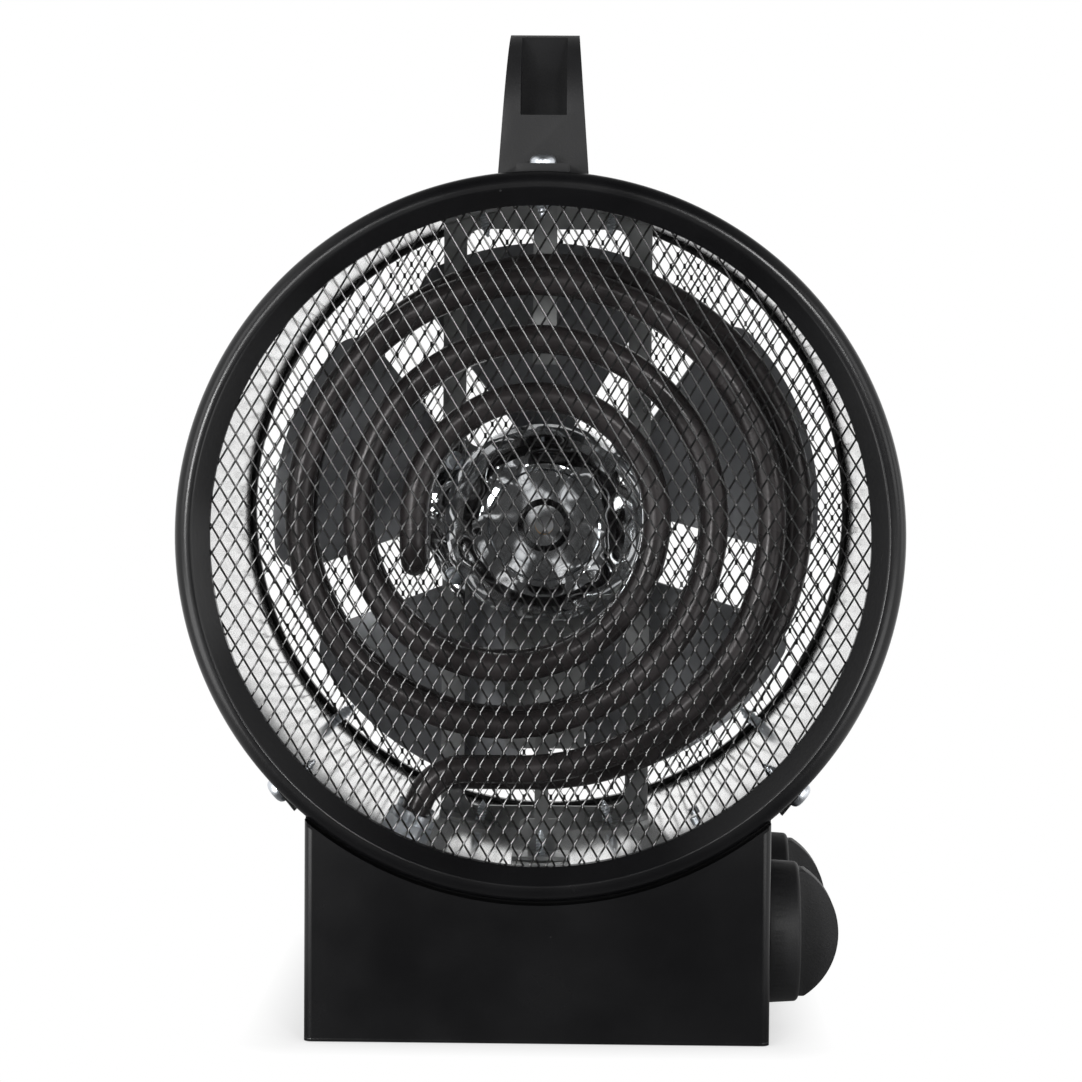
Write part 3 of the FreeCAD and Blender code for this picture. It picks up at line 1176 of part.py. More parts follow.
def make_base():
    """Base plate under the box's walls, with lips up inside all four of them."""
    pieces = [place(rounded_block("base_floor", "box_width", BOX_LENGTH, "base_gauge", "box_bend"),
                    "0", BOX_MIDDLE, "0")]
    lip_width = "(box_width - 2 * sheet_gauge - 2 * panel_flange - 2 * tray_lip_gap)"
    inset = "(sheet_gauge + fit_gap)"
    for tag, y in (("front", f"-{BOX_FRONT} + {inset}"), ("rear", f"{BOX_DEPTH} / 2 - {inset} - sheet_gauge")):
        pieces.append(block(f"base_lip_{tag}", lip_width, "sheet_gauge", "tray_lip + base_gauge",
                            f"-{lip_width} / 2", y, "0"))
    for tag, x in (("left", f"-{WALL} + {inset}"), ("right", f"{WALL} - {inset} - sheet_gauge")):
        pieces.append(block(f"base_lip_{tag}", "sheet_gauge", f"{BOX_LENGTH} - 2 * panel_flange",
                            "tray_lip + base_gauge", x, f"-{BOX_FRONT} + panel_flange", "0"))
    tray = fuse("base_tray", *pieces)
    holes = [back_rod(f"base_hole_{tag}", "small_screw_radius + fit_gap", "-4 * sheet_gauge", "sheet_gauge",
                      x, BASE_SCREW_HEIGHT) for x, tag in base_screw_places()]
    node(cut("base_plate", tray, *holes), "base_plate")
    screws = [back_screw(f"base_screw_{tag}", x, BASE_SCREW_HEIGHT) for x, tag in base_screw_places()]
    node(group("base_screws", screws), "base_screws")
    screws = []
    for angle, tag in saddle_screw_places():
        for depth, end in ((SCREW_DEPTH, "front"), (REAR_SCREW_DEPTH, "rear")):
            screws.append(radial_screw(f"saddle_screw_{tag}_{end}", angle, f"{LINER_OUT} + seat_gap",
                                       f"{SADDLE} + sheet_gauge", depth, small=True))
    node(group("saddle_screws", screws), "saddle_screws")


# Handle and casing screws

def make_handle():
    """Moulded handle: two legs, a grip with rounded corners, a scooped hollow in each outer face."""
    top = "(casing_radius + handle_height)"
    back = f"(drum_length - {HANDLE_FRONT})"
    low = "(casing_radius - tab_width / 2)"
    under = f"({top} - handle_grip)"
    body = DOC.addObject("PartDesign::Body", "handle_blank")
    corners = [(HANDLE_FRONT, low), (HANDLE_FRONT, top), (back, top), (back, low),
               (f"{back} - handle_leg", low), (f"{back} - handle_leg", under),
               (f"{HANDLE_FRONT} + handle_leg", under), (f"{HANDLE_FRONT} + handle_leg", low)]
    sketch = outline_sketch(body, "handle_outline", "YZ_Plane", corners)
    pad = body.newObject("PartDesign::Pad", "handle_pad")
    pad.Profile = sketch
    pad.Midplane = True
    bind(pad, Length="handle_foot_width")
    body.Tip = pad

    def corner_edge(height):
        def wanted(edge):
            return edge.BoundBox.XLength > 1 and edge.BoundBox.ZLength < 1e-6 \
                and abs(edge.BoundBox.ZMin - size(height)) < 1e-4 and edge.BoundBox.YLength < 1e-6
        return wanted

    round_edges(body, "handle_corners", "handle_round", corner_edge(top))
    round_edges(body, "handle_inner_corners", "handle_inner_round", corner_edge(under))
    drum_place(body)
    tab_low, tab_high = "casing_radius - tab_width / 2", "casing_radius + tab_height"
    tabs = [drum_block("handle_tab_front", "tab_width", "bead_depth + 2 * fit_gap", f"{HANDLE_FRONT} + 1",
                       tab_low, tab_high),
            drum_block("handle_tab_rear", "tab_width", f"{back} - 1", "drum_length - bead_depth - 2 * fit_gap",
                       tab_low, tab_high)]
    whole = fuse("handle_whole", body, *tabs)
    half, lean = "(handle_foot_width / 2)", "atan((handle_foot_width - handle_top_width) / 2 / handle_height)"
    tall = "(2 * handle_height)"
    right = block("handle_side_right", half, "drum_length", tall, half, FACE, f"{AXIS} + casing_radius",
                  (("0; 1; 0", f"-{lean}"),))
    left = block("handle_side_left", half, "drum_length", tall, f"-{half} - {half} * cos({lean})", FACE,
                 f"{AXIS} + casing_radius + {half} * sin({lean})", (("0; 1; 0", lean),))
    ledge = "casing_radius + scoop_ledge"
    floor = ("scoop_width", "scoop_depth", "handle_height", "-scoop_width / 2")
    scoops = [drum_block("handle_scoop_front", "scoop_width", "0", f"{HANDLE_FRONT} + scoop_depth", ledge, f"{top} + 1"),
              drum_block("handle_scoop_rear", "scoop_width", f"{back} - scoop_depth", "drum_length", ledge, f"{top} + 1"),
              block("handle_scoop_floor_front", *floor,
                    f"{FACE} + {HANDLE_FRONT} + scoop_depth - scoop_depth * cos(scoop_lean)",
                    f"{AXIS} + {ledge} + scoop_depth * sin(scoop_lean)", (("1; 0; 0", "-scoop_lean"),)),
              block("handle_scoop_floor_rear", *floor, f"{FACE} + {back} - scoop_depth",
                    f"{AXIS} + {ledge}", (("1; 0; 0", "scoop_lean"),))]
    saddle = drum_rod("handle_saddle", "casing_radius + fit_gap", "0", "drum_length")
    holes = [radial_hole(f"handle_hole_{tag}", "90", depth)
             for depth, tag in ((SCREW_DEPTH, "front"), (REAR_SCREW_DEPTH, "rear"))]
    node(cut("handle", whole, right, left, saddle, *scoops, *holes), "handle")


def make_casing_screws():
    screws, handle_screws = [], []
    for depth, end in ((SCREW_DEPTH, "front"), (REAR_SCREW_DEPTH, "rear")):
        for angle, side, tag in lower_screw_places():
            screws.append(radial_screw(f"casing_screw_{tag}_{end}", angle, SCREW_TIP, "casing_radius", depth, side))
        handle_screws.append(radial_screw(f"handle_screw_{end}", "90", SCREW_TIP,
                                          "casing_radius + tab_height", depth))
    node(group("casing_screws", screws), "casing_screws")
    node(group("handle_screws", handle_screws), "handle_screws")


# Controls

def make_knob(label, y):
    """Round skirt with a half-round grip bar, hollow behind, bored for its spindle."""
    skirt_end = "(knob_gap + knob_skirt)"
    corners = [("knob_gap", "0"), ("knob_gap", "knob_radius"), (skirt_end, "knob_radius - knob_draft"),
               (skirt_end, "0")]
    skirt = turned(label + "_skirt", corners, "H_Axis")

    def rim_edge(edge):
        return isinstance(edge.Curve, Part.Circle) and abs(edge.Curve.Center.x - size(skirt_end)) < 1e-4

    round_edges(skirt, label + "_rim", "knob_edge", rim_edge)
    place(skirt, WALL, y, "knob_height")
    arc = "((knob_grip_half ^ 2 + knob_grip ^ 2) / 2 / knob_grip)"
    drum = DOC.addObject("Part::Cylinder", label + "_arc")
    bind(drum, Radius=arc, Height="knob_grip_width")
    place(drum, f"{WALL} + {skirt_end} + knob_grip - {arc}", f"{y} - knob_grip_width / 2", "knob_height",
          (("1; 0; 0", "-90"),))
    field = block(label + "_field", f"2 * {arc}", "2 * knob_grip_width", f"2 * {arc}",
                  f"{WALL} + {skirt_end} - knob_edge", f"{y} - knob_grip_width", f"knob_height - {arc}")
    inside = side_rod(label + "_inside", "knob_radius - knob_draft - knob_edge", "0", "2 * knob_radius",
                      y, "knob_height")
    grip = common(label + "_grip", drum, field, inside)
    whole = fuse(label + "_whole", skirt, grip)
    hollow = side_rod(label + "_hollow", "knob_hollow", "0", "knob_gap + knob_hollow_depth", y, "knob_height")
    bore = side_rod(label + "_bore", "spindle_radius + fit_gap", "0", "spindle_outside + seat_gap", y, "knob_height")
    node(cut(label, whole, hollow, bore), label)


def control_cutters(tag, y):
    """Bore for the spindle and holes for the two screws of a switch or thermostat."""
    tools = [side_rod(f"{tag}_bore", "spindle_radius + run_gap", "-spindle_inside - seat_gap - sheet_gauge",
                      "neck_length + 1", y, "knob_height")]
    for step, side in (("-", "a"), ("+", "b")):
        tools.append(side_rod(f"{tag}_hole_{side}", "small_screw_radius + fit_gap", "-8 * sheet_gauge",
                              "sheet_gauge", f"{y} {step} control_screw_spread", "knob_height"))
    return tools


def make_controls():
    """Thermostat at the front and selector switch behind it, each with its spindle and knob."""
    inner_wall = f"({WALL} - sheet_gauge)"
    make_knob("thermostat_knob", KNOB_FRONT_Y)
    make_knob("selector_knob", KNOB_REAR_Y)
    for label, y in (("thermostat_spindle", KNOB_FRONT_Y), ("selector_spindle", KNOB_REAR_Y)):
        node(side_rod(label, "spindle_radius", "-spindle_inside - sheet_gauge", "spindle_outside", y, "knob_height"),
             label)
    case = block("thermostat_case", "thermostat_depth", "thermostat_size", "thermostat_size",
                 f"{inner_wall} - thermostat_depth", f"{KNOB_FRONT_Y} - thermostat_size / 2",
                 "knob_height - thermostat_size / 2")
    neck = side_rod("thermostat_neck", "neck_radius", "-2 * sheet_gauge", "neck_length", KNOB_FRONT_Y, "knob_height")
    node(cut("thermostat_body", fuse("thermostat_whole", case, neck), *control_cutters("thermostat", KNOB_FRONT_Y)),
         "thermostat_body")
    case = side_rod("switch_case", "switch_radius", "-switch_depth - sheet_gauge", "-sheet_gauge",
                    KNOB_REAR_Y, "knob_height")
    neck = side_rod("switch_neck", "neck_radius", "-2 * sheet_gauge", "neck_length", KNOB_REAR_Y, "knob_height")
    blades = []
    for row, column, tag in ((-1, -1, "a"), (-1, 1, "b"), (1, -1, "c"), (1, 1, "d")):
        blades.append(block(f"switch_blade_{tag}", "tab_terminal_length", "tab_terminal_gauge", "tab_terminal_width",
                            f"{inner_wall} - switch_depth - tab_terminal_length + 1",
                            f"{KNOB_REAR_Y} + {column} * switch_radius / 2",
                            f"knob_height + {row} * switch_radius / 2 - tab_terminal_width / 2"))
    node(cut("selector_switch", fuse("switch_whole", case, neck, *blades), *control_cutters("switch", KNOB_REAR_Y)),
         "selector_switch")
    screws = []
    for y, tag in ((KNOB_FRONT_Y, "front"), (KNOB_REAR_Y, "rear")):
        for step, side in (("-", "a"), ("+", "b")):
            place_y = f"{y} {step} control_screw_spread"
            screws.append(fuse(f"control_screw_{tag}_{side}",
                               side_rod(f"control_shank_{tag}_{side}", "small_screw_radius", "-7 * sheet_gauge", "0",
                                        place_y, "knob_height"),
                               side_rod(f"control_head_{tag}_{side}", "small_head_radius", "0", "small_head_height",
                                        place_y, "knob_height")))
    node(group("control_screws", screws), "control_screws")


# Electrical pieces in and on the box

def make_gland():
    """Cable gland in the rear wall with its nut inside."""
    collar = "gland_collar_length"
    dome = "(gland_collar_length + gland_dome_length)"
    nose = f"({dome} + gland_nose_length)"
    corners = [("gland_bore", "-gland_thread_length"), ("gland_thread", "-gland_thread_length"),
               ("gland_thread", "0"), ("gland_collar", "0"), ("gland_collar", collar), ("gland_dome", collar),
               ("gland_dome", dome), ("gland_nose", nose), ("gland_bore", nose)]
    body = turned("cable_gland", corners)
    place(body, GLAND_X, f"{BOX_DEPTH} / 2", "gland_height")
    node(body, "cable_gland")
    hexagon = DOC.addObject("Part::Prism", "gland_nut_body")
    hexagon.Polygon = 6
    bind(hexagon, Circumradius="gland_nut_radius", Height="gland_nut_length")
    place(hexagon, GLAND_X, f"{BOX_DEPTH} / 2 - sheet_gauge - gland_nut_length", "gland_height",
          (("1; 0; 0", "-90"),))
    bore = back_rod("gland_nut_bore", "gland_thread + fit_gap", "-gland_thread_length - 1", "0",
                    GLAND_X, "gland_height")
    node(cut("gland_nut", hexagon, bore), "gland_nut")


def make_terminals():
    """Terminal block with its screws, and the earth stud with its nut, on the base plate."""
    blank = rounded_block("block_blank", "block_width", "block_depth", "block_height", "block_round")
    place(blank, "block_x", "block_y", "base_gauge")
    wells, screws = [], []
    for pole in (-1, 0, 1):
        for row in (-1, 1):
            tag = f"{pole + 2}_{row + 2}"
            x, y = f"block_x + {pole} * block_pitch", f"block_y + {row} * block_row"
            top = "(base_gauge + block_height)"
            well = DOC.addObject("Part::Cylinder", f"block_well_{tag}")
            bind(well, Radius="pin_radius + fit_gap", Height="block_well + 1")
            wells.append(place(well, x, y, f"{top} - block_well"))
            screw = DOC.addObject("Part::Cylinder", f"block_screw_{tag}")
            bind(screw, Radius="pin_radius", Height="block_well - 1")
            screws.append(place(screw, x, y, f"{top} - block_well"))
    node(cut("terminal_block", blank, *wells), "terminal_block")
    node(group("terminal_screws", screws), "terminal_screws")
    stud = DOC.addObject("Part::Cylinder", "earth_stud")
    bind(stud, Radius="pin_radius", Height="earth_length")
    place(stud, "earth_x", "earth_y", "base_gauge")
    hexagon = DOC.addObject("Part::Prism", "earth_nut_body")
    hexagon.Polygon = 6
    bind(hexagon, Circumradius="earth_nut_radius", Height="earth_nut_length")
    place(hexagon, "earth_x", "earth_y", "base_gauge")
    bore = DOC.addObject("Part::Cylinder", "earth_nut_bore")
    bind(bore, Radius="pin_radius + fit_gap", Height="earth_length")
    place(bore, "earth_x", "earth_y", "0")
    node(group("earth_terminal", [stud, cut("earth_nut", hexagon, bore)]), "earth_terminal")


CUTOUT_DIRECTION = "(270 + cutout_angle)"


def make_cutout():
    """Thermal cut-out under the liner, on a plate held by two screws."""
    low = f"({LINER_OUT} + fit_gap)"
    plate = radial_block("cutout_plate", "cutout_plate_width", "cutout_plate_length", "sheet_gauge", CUTOUT_DIRECTION,
                         low, "cutout_depth - cutout_plate_length / 2", "-cutout_plate_width / 2")
    can = radial_rod("cutout_can", "cutout_radius", CUTOUT_DIRECTION, low, f"{low} + cutout_height", "cutout_depth")
    tabs = [radial_block(f"cutout_tab_{tag}", "tab_terminal_width", "tab_terminal_gauge", "tab_terminal_length + 1",
                         CUTOUT_DIRECTION, f"{low} + cutout_height - 1",
                         f"cutout_depth {sign} cutout_radius / 2", "-tab_terminal_width / 2")
            for sign, tag in (("-", "front"), ("+", "rear"))]
    whole = fuse("cutout_whole", plate, can, *tabs)
    holes, screws = [], []
    for sign, tag in (("-", "front"), ("+", "rear")):
        depth = f"cutout_depth {sign} cutout_screw_spread"
        holes.append(radial_hole(f"cutout_hole_{tag}", CUTOUT_DIRECTION, depth, small=True))
        screws.append(radial_screw(f"cutout_screw_{tag}", CUTOUT_DIRECTION, f"{LINER} - jacket / 4",
                                   f"{low} + sheet_gauge", depth, small=True))
    node(cut("thermal_cutout", whole, *holes), "thermal_cutout")
    node(group("cutout_screws", screws), "cutout_screws")


def bent_path(points, bend):
    """Straight runs through the points with a round bend at each corner."""
    edges, start = [], points[0]
    for before, corner, after in zip(points, points[1:], points[2:]):
        come = (corner - before).normalize()
        leave = (after - corner).normalize()
        half = come.getAngle(leave) / 2
        tangent = bend * math.tan(half)
        first, last = corner - come * tangent, corner + leave * tangent
        inward = (leave - come).normalize()
        middle = corner + inward * (bend / math.cos(half) - bend)
        edges.append(Part.LineSegment(start, first).toShape())
        edges.append(Part.Arc(first, middle, last).toShape())
        start = last
    edges.append(Part.LineSegment(start, points[-1]).toShape())
    return Part.Wire(edges)


def lead_solid(points):
    path = bent_path(points, size("lead_bend"))
    shell = Part.BRepOffsetAPI.MakePipeShell(path)
    shell.add(Part.Wire(Part.makeCircle(size("lead_radius"), points[0], points[1] - points[0])))
    shell.build()
    shell.makeSolid()
    return shell.shape()


def make_leads():
    """Leads between the terminal block, the switch, the thermostat and the element's pins."""
    lean = math.radians(size("tail_angle"))
    outward = Vector(-math.sin(lean), 0, -math.cos(lean))
    pin_end = size(f"{TAIL_REACH} + pin_length")
    pins = [outward * pin_end + Vector(0, size(f"{FACE} + {depth}"), size(AXIS))
            for depth, _ in element_layers()]
    dip = 4 * size("lead_bend") * size("lead_radius") / size("pin_radius")
    block_front = size("block_y - block_depth / 2")
    block_mid = size("base_gauge + block_height / 2")
    block_x, pitch = size("block_x"), size("block_pitch")
    blade_x = size(f"{WALL} - sheet_gauge - switch_depth - tab_terminal_length + 1")
    blade_y = size(f"{KNOB_REAR_Y} - switch_radius / 2 + tab_terminal_gauge / 2")
    low_z, high_z = size("knob_height - switch_radius / 2"), size("knob_height + switch_radius / 2")
    apart = 4 * size("lead_bend")
    supply = [Vector(block_x + pitch, block_front, block_mid), Vector(block_x + pitch, blade_y, block_mid),
              Vector(blade_x - apart, blade_y, block_mid), Vector(blade_x - apart, blade_y, low_z),
              Vector(blade_x, blade_y, low_z)]
    front_dip = pins[0] + outward * dip
    neutral = [pins[0], front_dip, Vector(front_dip.x, block_front - apart, front_dip.z),
               Vector(block_x, block_front - apart, block_mid), Vector(block_x, block_front, block_mid)]
    rear_dip = pins[1] + outward * (dip / 1.5)
    heat = [pins[1], rear_dip, Vector(block_x, pins[1].y, rear_dip.z),
            Vector(blade_x - apart, blade_y, high_z), Vector(blade_x, blade_y, high_z)]
    case_x = size(f"{WALL} - sheet_gauge - thermostat_depth / 2")
    case_end, knob_z = size(f"{KNOB_FRONT_Y} + thermostat_size / 2"), size("knob_height")
    switch_side = size(f"{KNOB_REAR_Y} - switch_radius - seat_gap")
    control = [Vector(case_x, case_end, knob_z), Vector(case_x, switch_side, knob_z)]
    item = DOC.addObject("Part::Feature", "wiring_leads")
    item.Shape = Part.makeCompound([lead_solid(points) for points in (supply, neutral, heat, control)])
    node(item, "wiring_leads")


def write_parts():
    """Check every object, then write each sub-part to its file."""
    DOC.recompute()
    for item in DOC.Objects:
        if "Invalid" in item.State or "Error" in item.State:
            raise RuntimeError(f"{item.Label} failed: {item.State}")
    labels = [item.Label for item in NODES]
    if len(set(labels)) != len(labels):
        raise RuntimeError("two sub-parts share a label")
    for item in NODES:
        if item.Shape.isNull() or not item.Shape.isValid() or not item.Shape.Solids:
            raise RuntimeError(f"{item.Label} has no valid solid")
    os.makedirs("parts", exist_ok=True)
    for item in NODES:
        item.Shape.exportStep(f"parts/{item.Label}.step")
    print("sub-parts", len(NODES))


def main():
    fill_sheet()
    make_casing()
    make_rims()
    make_liner()
    make_grilles()
    make_element()
    make_element_fittings()
    make_supports()
    make_bracket()
    make_shield()
    make_motor()
    make_fan()
    make_box()
    make_rear_panel()
    make_base()
    make_handle()
    make_casing_screws()
    make_controls()
    make_gland()
    make_terminals()
    make_cutout()
    make_leads()
    write_parts()


main()
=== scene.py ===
import json
import math
import bmesh
import bpy
from mathutils import Matrix, Vector


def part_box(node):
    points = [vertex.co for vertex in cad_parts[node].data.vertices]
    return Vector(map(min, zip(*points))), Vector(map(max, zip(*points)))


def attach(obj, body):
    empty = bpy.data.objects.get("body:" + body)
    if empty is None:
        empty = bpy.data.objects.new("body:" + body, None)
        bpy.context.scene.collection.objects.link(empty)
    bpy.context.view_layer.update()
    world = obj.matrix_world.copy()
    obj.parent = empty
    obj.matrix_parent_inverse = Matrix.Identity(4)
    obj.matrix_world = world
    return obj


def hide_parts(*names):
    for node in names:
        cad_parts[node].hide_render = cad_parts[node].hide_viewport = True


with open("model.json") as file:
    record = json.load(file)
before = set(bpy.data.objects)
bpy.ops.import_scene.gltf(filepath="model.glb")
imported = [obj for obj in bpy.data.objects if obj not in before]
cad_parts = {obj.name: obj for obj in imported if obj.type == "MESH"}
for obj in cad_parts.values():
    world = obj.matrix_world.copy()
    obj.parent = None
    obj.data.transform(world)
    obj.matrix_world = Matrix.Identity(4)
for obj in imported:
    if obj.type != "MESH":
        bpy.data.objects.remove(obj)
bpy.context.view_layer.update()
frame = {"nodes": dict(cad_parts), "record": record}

NODES = frame["nodes"]
BODY_OF = {name: body for body, members in frame["record"]["behaviour"]["bodies"].items() for name in members}
SLOT_OF = {row["node"]: row["material_slot"] for row in frame["record"]["subparts"]}
SCENE = bpy.context.scene

# All lengths are metres. In the drum's frame, depth runs along +Y from the front rim's face
AXIS_Z = 0.153
FACE_Y = -0.0925
DRUM_LENGTH = 0.185

# Screws: shank radius, head radius, head height and thread pitch
LARGE_SCREW = (0.002, 0.004, 0.0028, 0.0013)
SMALL_SCREW = (0.0016, 0.003, 0.0018, 0.001)
# Pan head: shares of its radius and height, from the seat to the crown
HEAD_PROFILE = ((1.0, 0.0), (1.0, 0.34), (0.96, 0.55), (0.86, 0.76), (0.68, 0.91), (0.4, 0.985), (0.12, 1.0))

# Screw seats: radii from the drum's axis, depths, and degrees from the drum's lowest line
CASING_SEAT, HANDLE_SEAT, LINER_SEAT = 0.110, 0.1124, 0.10595
RIM_INSET = 0.012
SKIRT_TURN, SKIRT_SCREW_TURN = 51.0, 45.5
BRACKET_DEPTH, TOP_SUPPORT_DEPTH, BOTTOM_SUPPORT_DEPTH = 0.1165, 0.0723, 0.0593
EAR_CIRCLE, EAR_DEPTH = 0.0365, 0.1213
MOTOR_CIRCLE, MOTOR_DEPTH = 0.025, 0.124
PANEL_Y = 0.0855
BASE_SCREW_X, BASE_SCREW_Z = 0.045, 0.0055
PANEL_SCREW_X, PANEL_SCREW_HEIGHTS = 0.0647, (0.021, 0.051)

# Expanded metal: a diamond's width and height, the pattern's shift, and the section of a strand in halves
MESH_CELL = (0.0048, 0.0080)
MESH_SHIFT = (-0.0010, -0.0015)
MESH_GAP, MESH_BORDER = 0.0003, 0.001
BOND_LEAN = math.radians(10.0)
STRAND_SECTION = ((-1, 0), (-0.32, -1), (0.32, -1), (1, 0), (0.6, 1), (-0.6, 1))
SHORTEST_SHARE = 0.05

# Heating element: half turns of growing radius in two layers, joined by a hairpin, each with a leaning tail
ELEMENT_ARCS = 5
TUBE_RADIUS = 0.0045
COIL_LIFT, COIL_SHIFT = 0.004, -0.0022
INNER_ARC, ARC_GROWTH, ARC_STEP = 0.038, 0.036, 0.0015
LEG_DROPS = (0.0065, 0.003)
FRONT_LAYER, REAR_LAYER, REAR_OUTSET = 0.045, 0.061, 0.0092
HAIRPIN_DEPTH, HAIRPIN_RADIUS = 0.053, 0.008
LINER_RADIUS, FRONT_CLEARANCE, REAR_CLEARANCE = 0.1054, 0.0304, 0.0264
TAIL_LEAN, TAIL_BEND, TAIL_REACH = 24.0, 0.014, 0.121

# Stage: half the width and depth of the object's foot, and how far its shadow is kept
FOOT_HALF = (0.0705, 0.0905)
SHADOW_REACH = 0.02


# Materials

def socket(shader, name, value):
    shader.inputs[name].default_value = value


def blank_material(name):
    material = bpy.data.materials.new(name)
    material.use_nodes = True
    tree = material.node_tree
    shader = tree.nodes["Principled BSDF"]
    return material, tree, shader


def noise_of(tree, scale, detail=3.0, stretch=(1.0, 1.0, 1.0)):
    """Noise in the object's own coordinates."""
    coords = tree.nodes.new("ShaderNodeTexCoord")
    mapping = tree.nodes.new("ShaderNodeMapping")
    mapping.inputs["Scale"].default_value = stretch
    noise = tree.nodes.new("ShaderNodeTexNoise")
    noise.inputs["Scale"].default_value = scale
    noise.inputs["Detail"].default_value = detail
    tree.links.new(coords.outputs["Object"], mapping.inputs["Vector"])
    tree.links.new(mapping.outputs["Vector"], noise.inputs["Vector"])
    return noise.outputs["Fac"]


def spread(tree, value, low, high, start=0.3, stop=0.7):
    """Carry a value between start and stop over to a value between low and high, held at the ends."""
    step = tree.nodes.new("ShaderNodeMapRange")
    step.inputs["From Min"].default_value = start
    step.inputs["From Max"].default_value = stop
    step.inputs["To Min"].default_value = low
    step.inputs["To Max"].default_value = high
    tree.links.new(value, step.inputs["Value"])
    return step.outputs["Result"]


def blend_colours(tree, value, first, second):
    """Colour that runs from the first to the second over the middle of a noise value."""
    ramp = tree.nodes.new("ShaderNodeValToRGB")
    for stop, position, colour in zip(ramp.color_ramp.elements, (0.35, 0.65), (first, second)):
        stop.position = position
        stop.color = (*colour, 1.0)
    tree.links.new(value, ramp.inputs["Fac"])
    return ramp.outputs["Color"]


def bumps(tree, shader, value, strength, distance):
    bump = tree.nodes.new("ShaderNodeBump")
    bump.inputs["Strength"].default_value = strength
    bump.inputs["Distance"].default_value = distance
    tree.links.new(value, bump.inputs["Height"])
    tree.links.new(bump.outputs["Normal"], shader.inputs["Normal"])


def maths(tree, operation, first, second=0.0):
    """Math node of one or two inputs, each a socket or a number."""
    step = tree.nodes.new("ShaderNodeMath")
    step.operation = operation
    for slot_number, value in enumerate((first, second)):
        if isinstance(value, (int, float)):
            step.inputs[slot_number].default_value = value
        else:
            tree.links.new(value, step.inputs[slot_number])
    return step.outputs["Value"]


def place_of(tree, source="Object"):
    """Coordinates of the point that is shaded, by name."""
    coords = tree.nodes.new("ShaderNodeTexCoord")
    split = tree.nodes.new("ShaderNodeSeparateXYZ")
    tree.links.new(coords.outputs[source], split.inputs["Vector"])
    return split.outputs


def hypotenuse(tree, first, second):
    squares = [maths(tree, "MULTIPLY", side, side) for side in (first, second)]
    return maths(tree, "SQRT", maths(tree, "ADD", *squares))


def surface(name, first, second, metallic, rough, patch, grain, relief,
            specular=0.5, stretch=(1, 1, 1), detail=3.0):
    """Two-tone surface: patches vary colour and gloss, a finer grain gives the relief."""
    material, tree, shader = blank_material(name)
    socket(shader, "Metallic", metallic)
    socket(shader, "Specular IOR Level", specular)
    wide = noise_of(tree, patch, 4.0, stretch)
    tree.links.new(blend_colours(tree, wide, first, second), shader.inputs["Base Color"])
    tree.links.new(spread(tree, wide, rough[0], rough[1]), shader.inputs["Roughness"])
    bumps(tree, shader, noise_of(tree, grain, detail, stretch), relief[0], relief[1])
    return material


def speckled(name, first, second, dust, metallic, rough, patch, grain, relief, specular):
    """Painted sheet: the two-tone surface with sparse fine specks of dust."""
    material = surface(name, first, second, metallic, rough, patch, grain, relief, specular)
    tree = material.node_tree
    shader = tree.nodes["Principled BSDF"]
    paint = shader.inputs["Base Color"].links[0].from_socket
    coords = tree.nodes.new("ShaderNodeTexCoord")
    cells = tree.nodes.new("ShaderNodeTexVoronoi")
    cells.inputs["Scale"].default_value = 70.0
    tree.links.new(coords.outputs["Object"], cells.inputs["Vector"])
    mix = tree.nodes.new("ShaderNodeMix")
    mix.data_type = "RGBA"
    tree.links.new(spread(tree, cells.outputs["Distance"], 1.0, 0.0, 0.012, 0.03), mix.inputs["Factor"])
    tree.links.new(paint, mix.inputs["A"])
    mix.inputs["B"].default_value = (*dust, 1.0)
    tree.links.new(mix.outputs["Result"], shader.inputs["Base Color"])
    return material


def drawn_cap(name, first, second, rough):
    """Bright drawn sheet about the drum's axis: nearly flat in the middle, uneven where it was drawn."""
    material = surface(name, first, second, 1.0, rough, 60.0, 75.0, (1.0, 0.005), detail=0.0)
    tree = material.node_tree
    place = place_of(tree)
    away = hypotenuse(tree, place["X"], maths(tree, "SUBTRACT", place["Z"], AXIS_Z))
    tree.links.new(spread(tree, away, 0.15, 1.0, 0.014, 0.021), tree.nodes["Bump"].inputs["Strength"])
    return material


